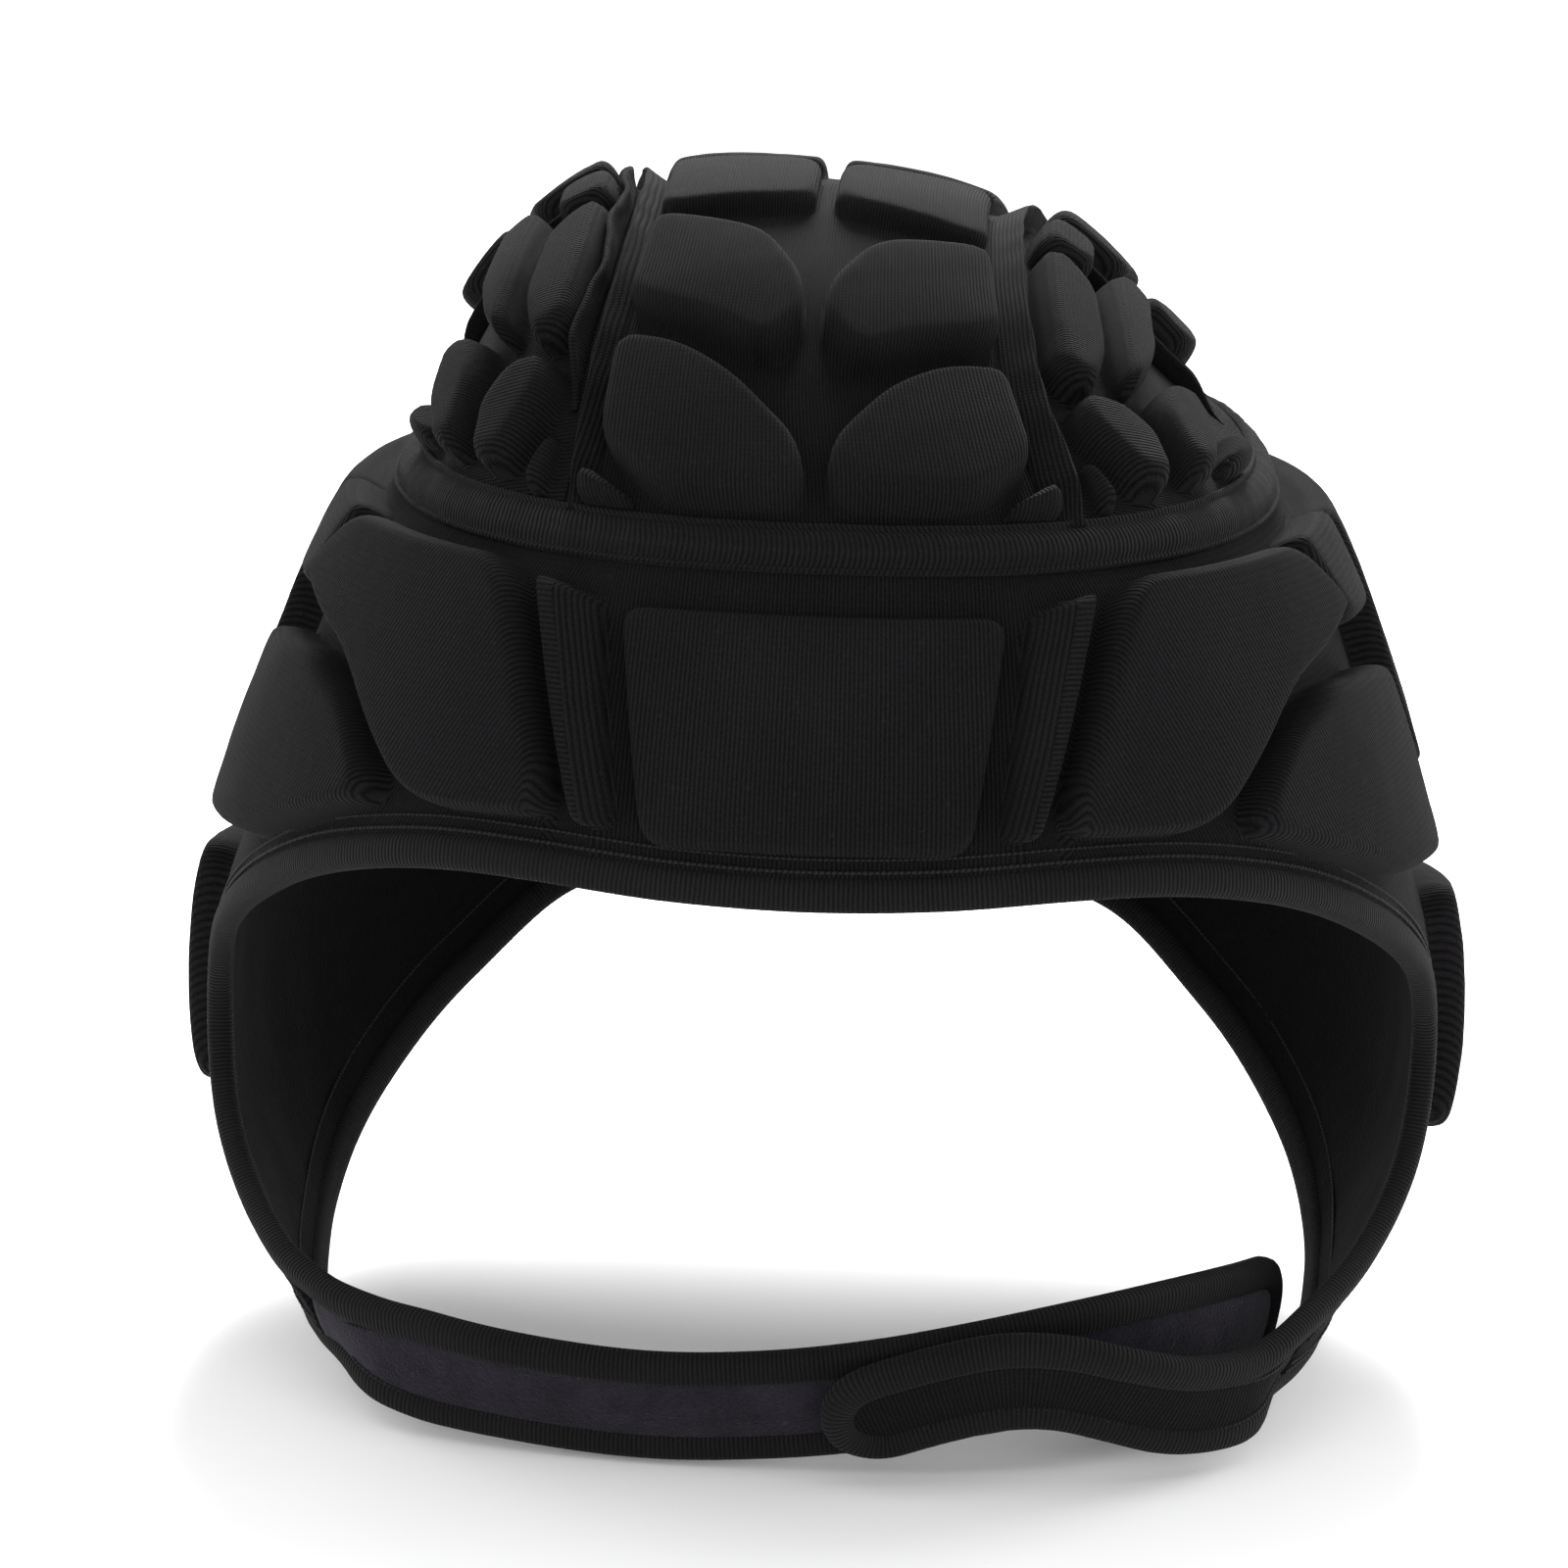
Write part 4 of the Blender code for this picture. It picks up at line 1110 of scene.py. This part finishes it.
def strap_widths(middle, half):
    """Half width along a strap, the flap's at its root and round at its end; metres walked."""
    walk = walked(middle)
    tip = FLAP_EDGES[-1]
    root = (tip[3] - tip[1]) * DEPTH / 2
    wide = between(root, half, ease(walk, 0.0, 0.024))
    left = np.clip((walk[-1] - walk) / half, 0, 1)
    return np.maximum(wide * np.sqrt(np.clip(1 - (1 - left) ** 2, 0, 1)), 0.0004), walk


def strap_edge(side, rows, width, inset, rise, least, drawn_in=0.0):
    """A route along a strap's upper edge, round its end and back below.

    It lies `inset` inside the edge, `drawn_in` more past the flap, and
    turns back where the strap's half width falls to the share `least`.
    """
    middle, down, out = strap_frame(side, rows, 16)
    wide, walk = strap_widths(middle, width / 2)
    half = (wide - (inset + drawn_in * ease(walk, 0.0, 0.020)))[:, None]
    keep = wide > width * least
    upper, lower = (np.hstack([middle + down * way + out * rise, out])[keep]
                    for way in (-half, half))
    return np.vstack([upper, lower[::-1]])


def settled(table, rounds):
    """A closed run of points, each drawn towards its neighbours."""
    for _ in range(rounds):
        table = table * 0.5 + (np.roll(table, 1, axis=0) + np.roll(table, -1, axis=0)) * 0.25
    return table


def thread_row(name, table, half):
    """A row of stitches: a thread that dips between its holes."""
    route = table[:, None, :3]
    beat = np.sin(np.arange(len(table)) * THREAD_STEP * math.pi / STITCH_LENGTH)
    beat = 0.75 + 0.35 * np.abs(beat)[:, None, None]
    rings = route + (carried(table, oval(half, half * 0.8, 6, 2.0)) - route) * beat
    attach(swept(name, rings, THREAD))


def make_bindings():
    """One run of binding round the face, the tab, the neck and the loop strap."""
    edges = {"face": face_edge_rows(12), "neck": neck_edge_rows(14)}
    face, neck = (edge_route(rows, BINDING_OUT, -CLOTH / 2, 0.0012) for rows in edges.values())
    tab = strap_edge(1, HOOK_TAB, TAB_WIDTH, -BINDING_OUT, 0.0, 0.12, 0.0021)
    loop = strap_edge(-1, LOOP_STRAP, STRAP_WIDTH, -BINDING_OUT, 0.0, 0.12, 0.0021)
    # A few points are left out at each corner, and the run starts past the first
    run = np.vstack([face[4:-3], tab[3:-3], neck[3:-3], loop[::-1][3:-3], face[3:4]])
    table = settled(even_route(run, 0.0008, closed=True), 8)
    section = oval(BINDING_HALF_WIDTH, BINDING_HALF_THICKNESS, 18, 2.8)
    obj = swept("edge_binding", carried(table, section), BINDING, closed=True)
    attach(obj, ["face_binding", "neck_binding"])
    # Rows of thread beside the edge: name, metres out of the edge, lift, half width
    threads = (("stitch", -0.0021, 0.00016, 0.00030), ("crease", -0.0040, 0.00005, 0.00022),
               ("lining_stitch", -0.0052, -CLOTH - 0.00012, 0.00028))
    for word, rows in edges.items():
        for part, out, lift, half in threads:
            thread_row(f"{word}_edge_{part}", edge_route(rows, out, lift, THREAD_STEP), half)


def make_strap(name, side, rows, width, face, slot):
    """A strap's two faces in one, and the stitches beside its binding."""
    middle, down, out = strap_frame(side, rows, 16)
    wide = strap_widths(middle, width / 2)[0]
    across = np.linspace(-1, 1, 13)
    thick = 0.0011
    span = (wide - 0.0008 * (wide > 0.002))[:, None, None] * across[None, :, None]
    crown = 0.00035 * (1 - across[None, :, None] ** 2)
    front = middle[:, None] + down[:, None] * span + out[:, None] * (thick + crown)
    back = middle[:, None] + down[:, None] * span - out[:, None] * (thick + 0.3 * crown)
    obj = swept(name + "_" + slot, np.concatenate([front, back[:, ::-1]], axis=1), face)
    attach(obj, [name])
    table = even_route(strap_edge(side, rows, width, 0.0027, thick + 0.00035, 0.36), THREAD_STEP)
    thread_row(name + "_stitch", table, 0.00028)


# ---- set out

def make_studio():
    """A pale floor, white air and four soft lamps."""
    corners = [(x, y, FLOOR_HEIGHT) for x, y in ((-4, -4), (4, -4), (4, 4), (-4, 4))]
    floor = put_mesh("studio_floor", corners, [(0, 1, 2, 3)], [[(0.0, 0.0)] * 4], [FLOOR])
    world = bpy.data.worlds.new("studio air")
    world.use_nodes = True
    air = world.node_tree.nodes["Background"]
    air.inputs["Color"].default_value = (1.0, 1.0, 1.0, 1.0)
    air.inputs["Strength"].default_value = AIR_STRENGTH
    bpy.context.scene.world = world
    for name, place, size, power, height in LAMPS:
        data = bpy.data.lights.new(name, "AREA")
        data.shape = "SQUARE"
        data.size = size
        data.energy = power
        lamp = bpy.data.objects.new(name, data)
        bpy.context.scene.collection.objects.link(lamp)
        lamp.location = place
        way = Vector((0.0, 0.0, height)) - Vector(place)
        lamp.rotation_euler = way.to_track_quat("-Z", "Y").to_euler()
    bpy.context.scene.view_settings.view_transform = "Standard"


def make_camera():
    """The camera at the photograph's viewing angle."""
    azimuth, height, roll = map(math.radians, (CAMERA_AZIMUTH, CAMERA_HEIGHT, CAMERA_ROLL))
    away = Vector((math.sin(azimuth) * math.cos(height), -math.cos(azimuth) * math.cos(height),
                   math.sin(height)))
    right = Vector((math.cos(azimuth), math.sin(azimuth), 0.0))
    up = away.cross(right)
    turned_right = right * math.cos(roll) + up * math.sin(roll)
    turned_up = up * math.cos(roll) - right * math.sin(roll)
    data = bpy.data.cameras.new("photo view")
    data.sensor_fit = "HORIZONTAL"
    data.sensor_width = 36.0
    data.lens = CAMERA_LENS
    camera = bpy.data.objects.new("photo view", data)
    bpy.context.scene.collection.objects.link(camera)
    turn = Matrix((turned_right, turned_up, away)).transposed().to_4x4()
    camera.matrix_world = Matrix.Translation(Vector(CAMERA_AIM) + away * CAMERA_AWAY) @ turn
    bpy.context.scene.camera = camera


make_crown_center()
for side, word in SIDES:
    make_crown_side(side, word)
make_band()
make_pads()
make_center_seams()
make_curled_edge()
make_rear_seams()
make_seam_tape()
make_bindings()
make_strap("chin_strap_left", -1, LOOP_STRAP, STRAP_WIDTH, VELVET, "loop_face")
make_strap("chin_strap_right", 1, HOOK_TAB, TAB_WIDTH, KNIT, "tab_face")
make_studio()
make_camera()
